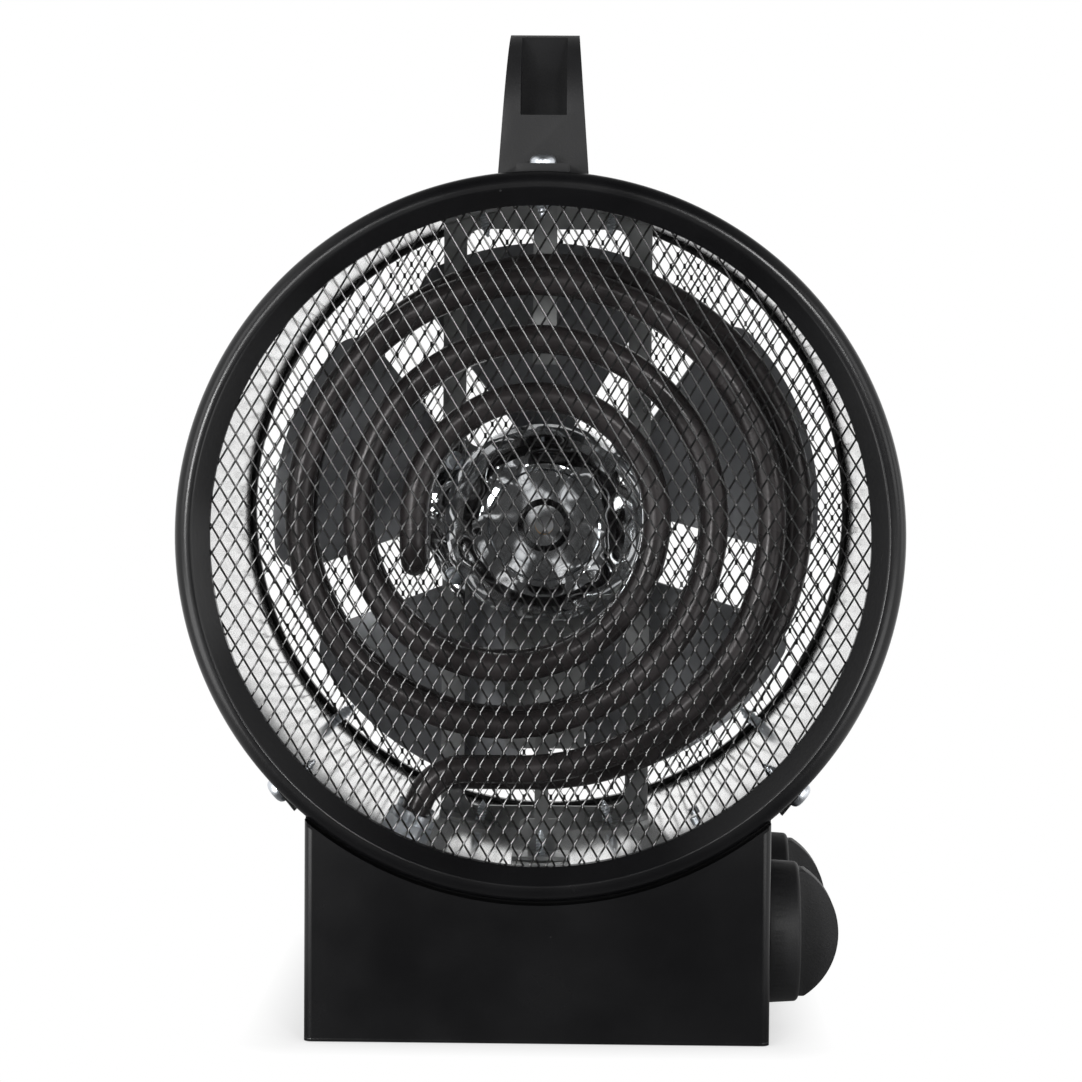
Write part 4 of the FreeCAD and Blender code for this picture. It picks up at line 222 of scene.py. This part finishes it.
def make_materials():
    """Materials by slot: two colours, metallic, range of roughness, scales of patches and grain, relief."""
    return {
        "black_paint": speckled("rim_paint", (0.0034, 0.0034, 0.0038), (0.0046, 0.0046, 0.0051),
                                (0.03, 0.03, 0.031), 0.0, (0.2, 0.28), 35.0, 900.0, (0.08, 0.0002), 0.38),
        "mesh_black": surface("mesh_paint", (0.005, 0.005, 0.005), (0.008, 0.008, 0.008), 0.0, (0.16, 0.22),
                              300.0, 2500.0, (0.05, 0.0001)),
        "reflector": surface("reflector", (0.97, 0.97, 0.965), (0.985, 0.985, 0.98), 0.9, (0.1, 0.15),
                             28.0, 22.0, (0.015, 0.003), stretch=(1.0, 0.35, 1.0)),
        "bright_cap": drawn_cap("bright_cap", (0.7, 0.72, 0.74), (0.86, 0.87, 0.88), (0.05, 0.1)),
        "element_sheath": surface("element_sheath", (0.018, 0.0157, 0.016), (0.038, 0.0333, 0.0338), 0.3,
                                  (0.18, 0.34), 60.0, 700.0, (0.15, 0.0003)),
        "zinc": surface("zinc", (0.62, 0.66, 0.71), (0.8, 0.83, 0.87), 1.0, (0.28, 0.42),
                        220.0, 1400.0, (0.15, 0.0002)),
        "bracket_steel": surface("bracket_steel", (0.26, 0.265, 0.265), (0.34, 0.345, 0.345), 1.0,
                                 (0.26, 0.38), 60.0, 700.0, (0.12, 0.0002)),
        "fan_metal": surface("fan_metal", (0.138, 0.142, 0.149), (0.187, 0.191, 0.2), 0.6, (0.42, 0.55),
                             40.0, 500.0, (0.1, 0.0002)),
        "motor_steel": surface("motor_steel", (0.34, 0.35, 0.36), (0.48, 0.49, 0.5), 1.0, (0.3, 0.45),
                               70.0, 900.0, (0.12, 0.0002)),
        "bronze": surface("bronze", (0.42, 0.26, 0.11), (0.62, 0.42, 0.2), 1.0, (0.3, 0.45),
                          120.0, 900.0, (0.12, 0.0002)),
        "copper": surface("copper", (0.4, 0.16, 0.08), (0.6, 0.28, 0.14), 1.0, (0.28, 0.4),
                          300.0, 1200.0, (0.3, 0.0004)),
        "ceramic": surface("ceramic", (0.8, 0.78, 0.72), (0.88, 0.86, 0.81), 0.0, (0.18, 0.28),
                           120.0, 600.0, (0.08, 0.0002)),
        "black_plastic": surface("black_plastic", (0.0068, 0.0068, 0.0075), (0.0096, 0.0096, 0.0104), 0.0,
                                 (0.46, 0.6), 60.0, 1500.0, (0.25, 0.0002), 0.38),
        "switch_plastic": surface("switch_plastic", (0.1, 0.1, 0.1), (0.14, 0.14, 0.14), 0.0, (0.3, 0.42),
                                  60.0, 900.0, (0.1, 0.0002)),
        "lead_cover": surface("lead_cover", (0.36, 0.06, 0.045), (0.46, 0.09, 0.07), 0.0, (0.4, 0.5),
                              90.0, 900.0, (0.1, 0.0002)),
    }


MATERIALS = make_materials()


def coat(obj, slot_name):
    obj.data.materials.clear()
    obj.data.materials.append(MATERIALS[slot_name])


# Meshes

def smooth(mesh, angle):
    mesh.shade_smooth()
    mesh.set_sharp_from_angle(angle=math.radians(angle))


def mesh_of(name, bm):
    """Mesh of a working mesh, with its faces turned outwards."""
    mesh = bpy.data.meshes.new(name)
    bmesh.ops.recalc_face_normals(bm, faces=bm.faces)
    bm.to_mesh(mesh)
    bm.free()
    return mesh


def piece(name, bm, node, angle=35.0):
    """Finish a mesh as the piece that stands for a node."""
    mesh = mesh_of(name, bm)
    smooth(mesh, angle)
    obj = bpy.data.objects.new(name, mesh)
    SCENE.collection.objects.link(obj)
    coat(obj, SLOT_OF[node])
    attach(obj, BODY_OF[node])
    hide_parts(node)


def radial_matrix(angle, start, depth, side=0.0):
    """Frame on the drum's radius: Z outwards, Y along the drum."""
    turn = math.radians(angle)
    out = Vector((math.cos(turn), 0.0, math.sin(turn)))
    across = Vector((math.sin(turn), 0.0, -math.cos(turn)))
    base = Vector((0.0, FACE_Y + depth, AXIS_Z)) + out * start + across * side
    return Matrix((
        (across.x, 0.0, out.x, base.x),
        (0.0, 1.0, 0.0, base.y),
        (across.z, 0.0, out.z, base.z),
        (0.0, 0.0, 0.0, 1.0)))


def axial_matrix(angle, circle, depth):
    """Place on a circle round the drum's axis."""
    turn = math.radians(angle)
    return Matrix.Translation((circle * math.cos(turn), FACE_Y + depth, AXIS_Z + circle * math.sin(turn)))


def even_turns(count):
    """Angles of evenly spaced points round a circle."""
    return [2 * math.pi * i / count for i in range(count)]


def add_rings(bm, rings, closed=True):
    """Skin a list of vertex rings, with the first and last filled if they are closed."""
    loops = [[bm.verts.new(point) for point in ring] for ring in rings]
    count = len(loops[0])
    for low, high in zip(loops, loops[1:]):
        for i in range(count):
            j = (i + 1) % count
            bm.faces.new((low[i], low[j], high[j], high[i]))
    if closed:
        bm.faces.new(loops[0][::-1])
        bm.faces.new(loops[-1])


# Screws

def circle_points(radius, height, count):
    return [Vector((radius * math.cos(turn), radius * math.sin(turn), height)) for turn in even_turns(count)]


def thread_rings(root, crest, pitch, low, high, taper):
    """Rings of a helical thread from low to high, drawn to a point over the taper."""
    count, steps_per_turn = 20, 8
    rings = []
    total = max(2, int((high - low) / pitch * steps_per_turn))
    for k in range(total + 1):
        height = low + (high - low) * k / total
        shrink = min(1.0, 0.25 + 0.75 * (height - low) / taper)
        ring = []
        for i, turn in enumerate(even_turns(count)):
            phase = (height / pitch - i / count) % 1.0
            ridge = 1.0 - abs(2.0 * phase - 1.0)
            radius = (root + (crest - root) * ridge) * shrink
            ring.append(Vector((radius * math.cos(turn), radius * math.sin(turn), height)))
        rings.append(ring)
    return rings


def cross_recess(radius, depth, top):
    """Cutter for a cross-slotted head."""
    bm = bmesh.new()
    width = radius * 0.2
    for turn in (0.0, math.pi / 2):
        made = bmesh.ops.create_cube(bm, size=1.0)
        shape = Matrix.Rotation(turn, 4, "Z") @ Matrix.Diagonal((radius * 1.15, width * 2, depth * 2, 1.0))
        bmesh.ops.transform(bm, matrix=Matrix.Translation((0, 0, top)) @ shape, verts=made["verts"])
    return bm


def screw_mesh(length, shank, head, height, pitch):
    """Pan head with a cross recess on a threaded shank: the seat is at the local origin."""
    bm = bmesh.new()
    profile = [(shank * 0.9, 0.0)] + [(head * across, height * up) for across, up in HEAD_PROFILE]
    add_rings(bm, [circle_points(radius, z, 40) for radius, z in profile])
    body = bpy.data.objects.new("head", mesh_of("head", bm))
    cutter = bpy.data.objects.new("recess", mesh_of("recess", cross_recess(head, height * 0.6, height)))
    for obj in (body, cutter):
        SCENE.collection.objects.link(obj)
    cut = body.modifiers.new("recess", "BOOLEAN")
    cut.operation = "DIFFERENCE"
    cut.solver = "EXACT"
    cut.use_self = True
    cut.object = cutter
    graph = bpy.context.evaluated_depsgraph_get()
    done = bpy.data.meshes.new_from_object(body.evaluated_get(graph))
    for obj in (body, cutter):
        bpy.data.objects.remove(obj)
    whole = bmesh.new()
    whole.from_mesh(done)
    add_rings(whole, thread_rings(shank * 0.78, shank, pitch, -length, 0.0002, min(0.003, length / 3)))
    result = bpy.data.meshes.new("screw")
    whole.to_mesh(result)
    whole.free()
    return result


def screws(node, mesh, places):
    """All the screws of one node as one piece."""
    bm = bmesh.new()
    for place in places:
        part = bmesh.new()
        part.from_mesh(mesh)
        bmesh.ops.transform(part, matrix=place, verts=part.verts)
        copied = bpy.data.meshes.new("copy")
        part.to_mesh(copied)
        part.free()
        bm.from_mesh(copied)
        bpy.data.meshes.remove(copied)
    piece(node + "_detail", bm, node, 40.0)


def make_screws():
    lower = CASING_SEAT * math.tan(math.radians(SKIRT_TURN - SKIRT_SCREW_TURN))
    near, far = RIM_INSET, DRUM_LENGTH - RIM_INSET
    front, rear = (Matrix.Rotation(math.radians(turn), 4, "X") for turn in (90, -90))
    big = screw_mesh(0.0138, *LARGE_SCREW)
    skirts = ((270.0 + SKIRT_TURN, lower), (270.0 - SKIRT_TURN, -lower))
    screws("casing_screws", big, [radial_matrix(angle, CASING_SEAT, depth, side)
                                  for depth in (near, far) for angle, side in skirts])
    tall = screw_mesh(0.0162, *LARGE_SCREW)
    screws("handle_screws", tall, [radial_matrix(90.0, HANDLE_SEAT, depth) for depth in (near, far)])
    small = screw_mesh(0.0098, *SMALL_SCREW)
    screws("bracket_screws", small, [radial_matrix(angle, LINER_SEAT, BRACKET_DEPTH)
                                     for angle in (78, 102, 258, 282)])
    screws("support_screws", small, [radial_matrix(90, LINER_SEAT, TOP_SUPPORT_DEPTH),
                                     radial_matrix(270, LINER_SEAT, BOTTOM_SUPPORT_DEPTH)])
    short = screw_mesh(0.0046, *SMALL_SCREW)
    screws("shield_screws", short, [axial_matrix(angle, EAR_CIRCLE, EAR_DEPTH) @ front
                                    for angle in (31.9, 148.1, 211.9, 328.1)])
    through = screw_mesh(FACE_Y + MOTOR_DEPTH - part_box("motor_screws")[0].y, *SMALL_SCREW)
    screws("motor_screws", through, [axial_matrix(angle, MOTOR_CIRCLE, MOTOR_DEPTH) @ rear
                                     for angle in (45, 135, 225, 315)])
    screws("base_screws", short, [Matrix.Translation((x, PANEL_Y, BASE_SCREW_Z)) @ rear
                                  for x in (-BASE_SCREW_X, BASE_SCREW_X)])
    screws("panel_screws", short, [Matrix.Translation((x, PANEL_Y, z)) @ rear
                                   for x in (-PANEL_SCREW_X, PANEL_SCREW_X) for z in PANEL_SCREW_HEIGHTS])


# Grilles

def strand(bm, start, end, width, gauge, leans):
    """Flat strand between two points of a sheet in the XZ plane, twisted from lean to lean along its run."""
    along = (end - start).normalized()
    across = Vector((along.z, 0.0, -along.x)).normalized()
    if across.x < 0:
        across.negate()
    out = Vector((0.0, 1.0, 0.0))
    rings = []
    for k, lean in enumerate(leans):
        point = start.lerp(end, k / (len(leans) - 1))
        side = across * math.cos(lean) + out * math.sin(lean)
        thick = out * math.cos(lean) - across * math.sin(lean)
        rings.append([point + side * (a * width / 2) + thick * (b * gauge / 2) for a, b in STRAND_SECTION])
    add_rings(bm, rings)


def clipped(start, end, radius):
    """Part of a straight run inside a circle, or None."""
    run = end - start
    a = run.dot(run)
    b = 2 * start.dot(run)
    c = start.dot(start) - radius ** 2
    root = b * b - 4 * a * c
    if root <= 0:
        return None
    low = max(0.0, (-b - math.sqrt(root)) / (2 * a))
    high = min(1.0, (-b + math.sqrt(root)) / (2 * a))
    if high - low < SHORTEST_SHARE:
        return None
    return start + run * low, start + run * high


def lean_share(height, least, at_axis, reach):
    """Share of the full lean at a height over the axis, from the least up to one."""
    return min(1.0, max(least, at_axis + height / reach))


def rising_leans(height, twist):
    """Leans of a strand that climbs to the right: its lower end turned to the light, more so low down."""
    share = lean_share(height, 0.25, 0.7, -0.12)
    return [-1.05 * twist * share, -1.05 * twist * share, -0.8 * twist * share, 0.4 * twist]


def falling_leans(height, twist):
    """Leans of a strand that drops to the right: turned to the light high on the sheet."""
    return [twist * lean_share(height, 0.15, 0.75, 0.1)] * 2


def expanded_sheet(node, strand_width, gauge, bond, twist):
    """Expanded metal disc with the real mesh, in the place of a node's flat sheet."""
    low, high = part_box(node)
    middle = (low + high) / 2
    radius = (high.x - low.x) / 2 - MESH_GAP
    half_w, half_h = MESH_CELL[0] / 2, MESH_CELL[1] / 2
    bm = bmesh.new()
    columns, rows = int(radius / half_w) + 3, int(radius / half_h) + 3
    tall = Vector((0.0, bond[1] / 9, bond[1] / 2))
    for i in range(-columns, columns):
        for j in range(-rows, rows + 1):
            if (i + j) % 2:
                continue
            start = Vector((i * half_w + MESH_SHIFT[0], 0.0, j * half_h + MESH_SHIFT[1]))
            for step, leans in ((1, rising_leans(start.z, twist)), (-1, falling_leans(start.z, twist))):
                end = Vector((start.x + half_w, 0.0, start.z + step * half_h))
                kept = clipped(start, end, radius)
                if kept:
                    strand(bm, kept[0], kept[1], strand_width, gauge, leans)
            if start.length < radius - bond[1]:
                strand(bm, start - tall, start + tall, bond[0], gauge, (BOND_LEAN, BOND_LEAN))
    front, back, inside = -gauge / 2, gauge / 2, radius - MESH_BORDER
    border = [[Vector((r * math.cos(turn), y, r * math.sin(turn))) for turn in even_turns(180)]
              for r, y in ((radius, front), (inside, front), (inside, back), (radius, back), (radius, front))]
    add_rings(bm, border, closed=False)
    bmesh.ops.remove_doubles(bm, verts=bm.verts, dist=1e-7)
    bmesh.ops.translate(bm, verts=bm.verts, vec=middle)
    piece(node + "_mesh", bm, node, 30.0)


# Front rim

def round_points(centre, radius, first, last, count):
    """Arc of a rim's section, as radii and depths."""
    turns = [math.radians(first + (last - first) * k / count) for k in range(count + 1)]
    return [(centre[0] + radius * math.cos(t), centre[1] + radius * math.sin(t)) for t in turns]


def rim_profile():
    """Section of the front rim, as radii and depths: out along its front and back along its inside."""
    lip_and_slope = [(0.0998, 0.0085), (0.0998, 0.0055), (0.10424, 0.00061)]
    crest = round_points((0.10533, 0.0012), 0.0012, -137.75, -90.0, 8)
    bead = round_points((0.1058, 0.0042), 0.0042, -90.0, 0.0, 16)
    flange = [(0.110, 0.006), (0.10915, 0.006), (0.10915, 0.018), (0.10835, 0.018)]
    inner_bead = round_points((0.10615, 0.0032), 0.0022, 0.0, -90.0, 10)
    inner_slope = [(0.1048, 0.001), (0.1006, 0.0065), (0.1006, 0.0085)]
    return lip_and_slope + crest + bead + flange + inner_bead + inner_slope


def turned_rim(node, profile):
    """Rim turned in even steps, in the place of a node whose uneven facets break up its highlight."""
    bm = bmesh.new()
    rings = [[Vector((r * math.cos(t), FACE_Y + depth, AXIS_Z + r * math.sin(t))) for t in even_turns(360)]
             for r, depth in profile + profile[:1]]
    add_rings(bm, rings, closed=False)
    bmesh.ops.remove_doubles(bm, verts=bm.verts, dist=1e-7)
    piece(node + "_turned", bm, node, 25.0)


# Heating element: points in the drum's frame, heights from the drum's axis

def arc_points(depth, centre, height, radius, first, last):
    """Points along an arc in a layer's plane, about a millimetre and a half apart."""
    count = max(6, int(abs(math.radians(last - first)) * radius / ARC_STEP))
    turns = [math.radians(first + (last - first) * i / count) for i in range(count + 1)]
    return [Vector((centre + radius * math.cos(t), depth, height + radius * math.sin(t))) for t in turns]


def layer_points(depth, outset, sweep):
    """One layer of the element from its inner hairpin leg to the end of its tail."""
    left, right = COIL_SHIFT - INNER_ARC, 0.0
    points = [Vector((left, depth, COIL_LIFT - drop)) for drop in LEG_DROPS]
    for turn in range(ELEMENT_ARCS):
        radius = INNER_ARC + turn * ARC_GROWTH / (ELEMENT_ARCS - 1)
        if turn == ELEMENT_ARCS - 1:
            radius += outset / 2
        if turn % 2 == 0:
            points += arc_points(depth, left + radius, COIL_LIFT, radius, 180.0, 0.0)
            right = left + 2 * radius
        else:
            points += arc_points(depth, right - radius, COIL_LIFT, radius, 0.0, -180.0)
            left = right - 2 * radius
    points += arc_points(depth, right - sweep, COIL_LIFT, sweep, 0.0, -90.0)
    height, lean = COIL_LIFT - sweep, math.radians(TAIL_LEAN)
    corner = height * math.tan(lean) + TAIL_BEND * math.tan((math.pi / 2 - lean) / 2)
    points += arc_points(depth, corner, height - TAIL_BEND, TAIL_BEND, 90.0, 180.0 - TAIL_LEAN)
    points.append(Vector((-TAIL_REACH * math.sin(lean), depth, -TAIL_REACH * math.cos(lean))))
    return points


def element_points():
    """Whole element from one tail's end to the other's."""
    front = layer_points(FRONT_LAYER, 0.0, LINER_RADIUS + COIL_LIFT - FRONT_CLEARANCE)
    rear = layer_points(REAR_LAYER, REAR_OUTSET, LINER_RADIUS + COIL_LIFT - REAR_CLEARANCE)
    foot = front[0]
    hairpin = [Vector((foot.x, HAIRPIN_DEPTH - HAIRPIN_RADIUS * math.cos(t),
                       foot.z - HAIRPIN_RADIUS * math.sin(t)))
               for t in (math.pi * i / 16 for i in range(1, 16))]
    points = front[::-1] + hairpin + rear
    return [a for a, b in zip(points, points[1:] + [None]) if b is None or (b - a).length > 1e-5]


def make_element():
    """Sheathed tube swept along the element's path, faintly uneven as a bent tube is."""
    path = [point + Vector((0.0, FACE_Y, AXIS_Z)) for point in element_points()]
    travel, rings, normal = 0.0, [], Vector((0.0, 1.0, 0.0))
    for k, point in enumerate(path):
        heading = (path[min(k + 1, len(path) - 1)] - path[max(k - 1, 0)]).normalized()
        normal = (normal - heading * normal.dot(heading)).normalized()
        across = heading.cross(normal)
        travel += (point - path[max(k - 1, 0)]).length
        uneven = TUBE_RADIUS - 0.00004 * (1.0 + math.sin(travel * 260.0) * math.sin(travel * 97.0))
        rings.append([point + (normal * math.cos(turn) + across * math.sin(turn)) * uneven
                      for turn in even_turns(20)])
    bm = bmesh.new()
    add_rings(bm, rings)
    piece("heating_element_tube", bm, "heating_element", 40.0)


# Moulded and pressed pieces

def softened(node, width, segments):
    """Copy of a node with its sharp edges rounded."""
    bm = bmesh.new()
    bm.from_mesh(NODES[node].data)
    bmesh.ops.remove_doubles(bm, verts=bm.verts, dist=1e-6)
    bmesh.ops.dissolve_limit(bm, angle_limit=math.radians(0.5), verts=bm.verts, edges=bm.edges)
    limit = math.radians(28.0)
    edges = [edge for edge in bm.edges if edge.is_manifold and edge.calc_face_angle(0.0) > limit]
    bmesh.ops.bevel(bm, geom=edges, offset=width, offset_type="OFFSET", segments=segments, profile=0.5,
                    affect="EDGES", clamp_overlap=True)
    piece(node + "_soft", bm, node)


def make_pieces():
    expanded_sheet("front_grille", 0.0006, 0.0005, (0.0007, 0.0012), math.radians(14))
    expanded_sheet("rear_grille", 0.0003, 0.0003, (0.0010, 0.0019), math.radians(8))
    turned_rim("front_ring", rim_profile())
    make_element()
    softened("handle", 0.0014, 3)
    softened("thermostat_knob", 0.0008, 3)
    softened("selector_knob", 0.0008, 3)
    softened("base_plate", 0.0004, 2)
    make_screws()


def coat_nodes():
    for name, obj in NODES.items():
        coat(obj, SLOT_OF[name])


# Stage, lamps and camera

def background_rays(tree):
    """One for rays from the camera, and one for rays from a reflection or through glass."""
    path = tree.nodes.new("ShaderNodeLightPath")
    mirrored = maths(tree, "MAXIMUM", path.outputs["Is Glossy Ray"], path.outputs["Is Transmission Ray"])
    return path.outputs["Is Camera Ray"], mirrored


def make_stage():
    """Floor that is white to the eye, with the object's soft shadow near its foot."""
    mesh = bpy.data.meshes.new("floor")
    reach = 6.0
    mesh.from_pydata([(-reach, -reach, 0), (reach, -reach, 0), (reach, reach, 0), (-reach, reach, 0)], [],
                     [(0, 1, 2, 3)])
    floor = bpy.data.objects.new("floor", mesh)
    floor.location.z = -0.0002
    SCENE.collection.objects.link(floor)
    material, tree, shader = blank_material("floor_white")
    socket(shader, "Roughness", 0.9)
    socket(shader, "Specular IOR Level", 0.0)
    pale = blend_colours(tree, noise_of(tree, 3.0), (0.93, 0.93, 0.93), (0.95, 0.95, 0.95))
    tree.links.new(pale, shader.inputs["Base Color"])
    place = place_of(tree)
    past_x, past_y = (
        maths(tree, "MAXIMUM", maths(tree, "SUBTRACT", maths(tree, "ABSOLUTE", place[axis]), half), 0.0)
        for axis, half in zip("XY", FOOT_HALF))
    away = hypotenuse(tree, past_x, past_y)
    white = tree.nodes.new("ShaderNodeEmission")
    seen, mirrored = background_rays(tree)
    front = maths(tree, "MAXIMUM", spread(tree, place["Y"], 0.06, 1.0, -0.15, 0.5),
                  spread(tree, past_x, 0.0, 0.9, 0.06, 0.16))
    tree.links.new(maths(tree, "MAXIMUM", seen, front), white.inputs["Strength"])
    clear = spread(tree, away, 0.55, 1.0, 0.0, SHADOW_REACH)
    mix = tree.nodes.new("ShaderNodeMixShader")
    tree.links.new(maths(tree, "MAXIMUM", maths(tree, "MULTIPLY", seen, clear), mirrored), mix.inputs["Fac"])
    tree.links.new(shader.outputs["BSDF"], mix.inputs[1])
    tree.links.new(white.outputs["Emission"], mix.inputs[2])
    tree.links.new(mix.outputs["Shader"], tree.nodes["Material Output"].inputs["Surface"])
    mesh.materials.append(material)


def make_world():
    """White to the eye. Reflections see white behind the object and at its sides, and a dim room in front."""
    world = bpy.data.worlds.new("studio")
    SCENE.world = world
    world.use_nodes = True
    tree = world.node_tree
    tree.nodes.clear()
    out = tree.nodes.new("ShaderNodeOutputWorld")
    light = tree.nodes.new("ShaderNodeBackground")
    light.inputs["Color"].default_value = (1, 1, 1, 1)
    place = place_of(tree, "Generated")
    seen, mirrored = background_rays(tree)
    room = maths(tree, "MULTIPLY", spread(tree, place["Y"], 0.05, 1.0, -0.35, 0.5),
                 spread(tree, place["Z"], 1.0, 0.15, 0.3, 0.8))
    sides = maths(tree, "ADD", spread(tree, place["X"], 0.9, 0.0, -0.75, -0.35),
                  spread(tree, place["X"], 0.0, 0.6, 0.4, 0.8))
    room = maths(tree, "MAXIMUM", room, sides)
    fill = spread(tree, place["Y"], 0.5, 0.8, -0.9, 0.4)
    other = maths(tree, "ADD", maths(tree, "MULTIPLY", mirrored, room),
                  maths(tree, "MULTIPLY", maths(tree, "SUBTRACT", 1.0, mirrored), fill))
    tree.links.new(maths(tree, "MAXIMUM", seen, other), light.inputs["Strength"])
    tree.links.new(light.outputs["Background"], out.inputs["Surface"])


def area_lamp(name, place, aim, size, power):
    data = bpy.data.lights.new(name, "AREA")
    data.shape = "RECTANGLE"
    data.size, data.size_y = size
    data.energy = power
    lamp = bpy.data.objects.new(name, data)
    lamp.location = place
    lamp.rotation_mode = "QUATERNION"
    lamp.rotation_quaternion = (Vector(aim) - Vector(place)).to_track_quat("-Z", "Y")
    SCENE.collection.objects.link(lamp)


def make_lamps():
    """Front and side lamps aimed at the drum, and small cards that the motor's cap mirrors."""
    drum, cap = (0.0, -0.05, 0.15), (0.0, -0.0125, 0.153)
    front, side, card = (0.3, 0.3), (0.6, 0.9), (0.18, 0.1)
    area_lamp("front_left", (-0.6, -1.75, 0.7), drum, front, 3.5)
    area_lamp("front_right", (0.6, -1.75, 0.72), drum, front, 8.0)
    area_lamp("low_left", (-0.85, -1.77, 0.28), drum, front, 10.0)
    area_lamp("side_left", (-1.2, -1.0, 0.6), drum, side, 3.0)
    area_lamp("side_right", (1.2, -1.0, 0.6), drum, side, 3.0)
    area_lamp("card_low_right", (0.262, -0.357, 0.052), cap, card, 0.12)
    area_lamp("card_low_left", (-0.27, -0.31, 0.052), cap, card, 0.2)
    area_lamp("card_right", (1.2, -0.15, 0.1), drum, (0.5, 0.8), 1.5)


def make_camera():
    """Camera about a metre in front of the drum, a little above and to the right, rolled as the photo is."""
    data = bpy.data.cameras.new("camera")
    data.sensor_width = 36.0
    data.lens = 111.3
    data.clip_start = 0.05
    data.clip_end = 50.0
    camera = bpy.data.objects.new("camera", data)
    camera.location = (0.018, FACE_Y - 1.0, AXIS_Z + 0.055)
    target = Vector((0.00043, FACE_Y, AXIS_Z - 0.0006))
    turn = (target - camera.location).to_track_quat("-Z", "Y").to_matrix()
    roll = Matrix.Rotation(math.radians(0.42), 3, "Z")
    camera.rotation_mode = "QUATERNION"
    camera.rotation_quaternion = (turn @ roll).to_quaternion()
    SCENE.collection.objects.link(camera)
    SCENE.camera = camera


coat_nodes()
make_pieces()
make_stage()
make_world()
make_lamps()
make_camera()
SCENE.view_settings.view_transform = "Standard"
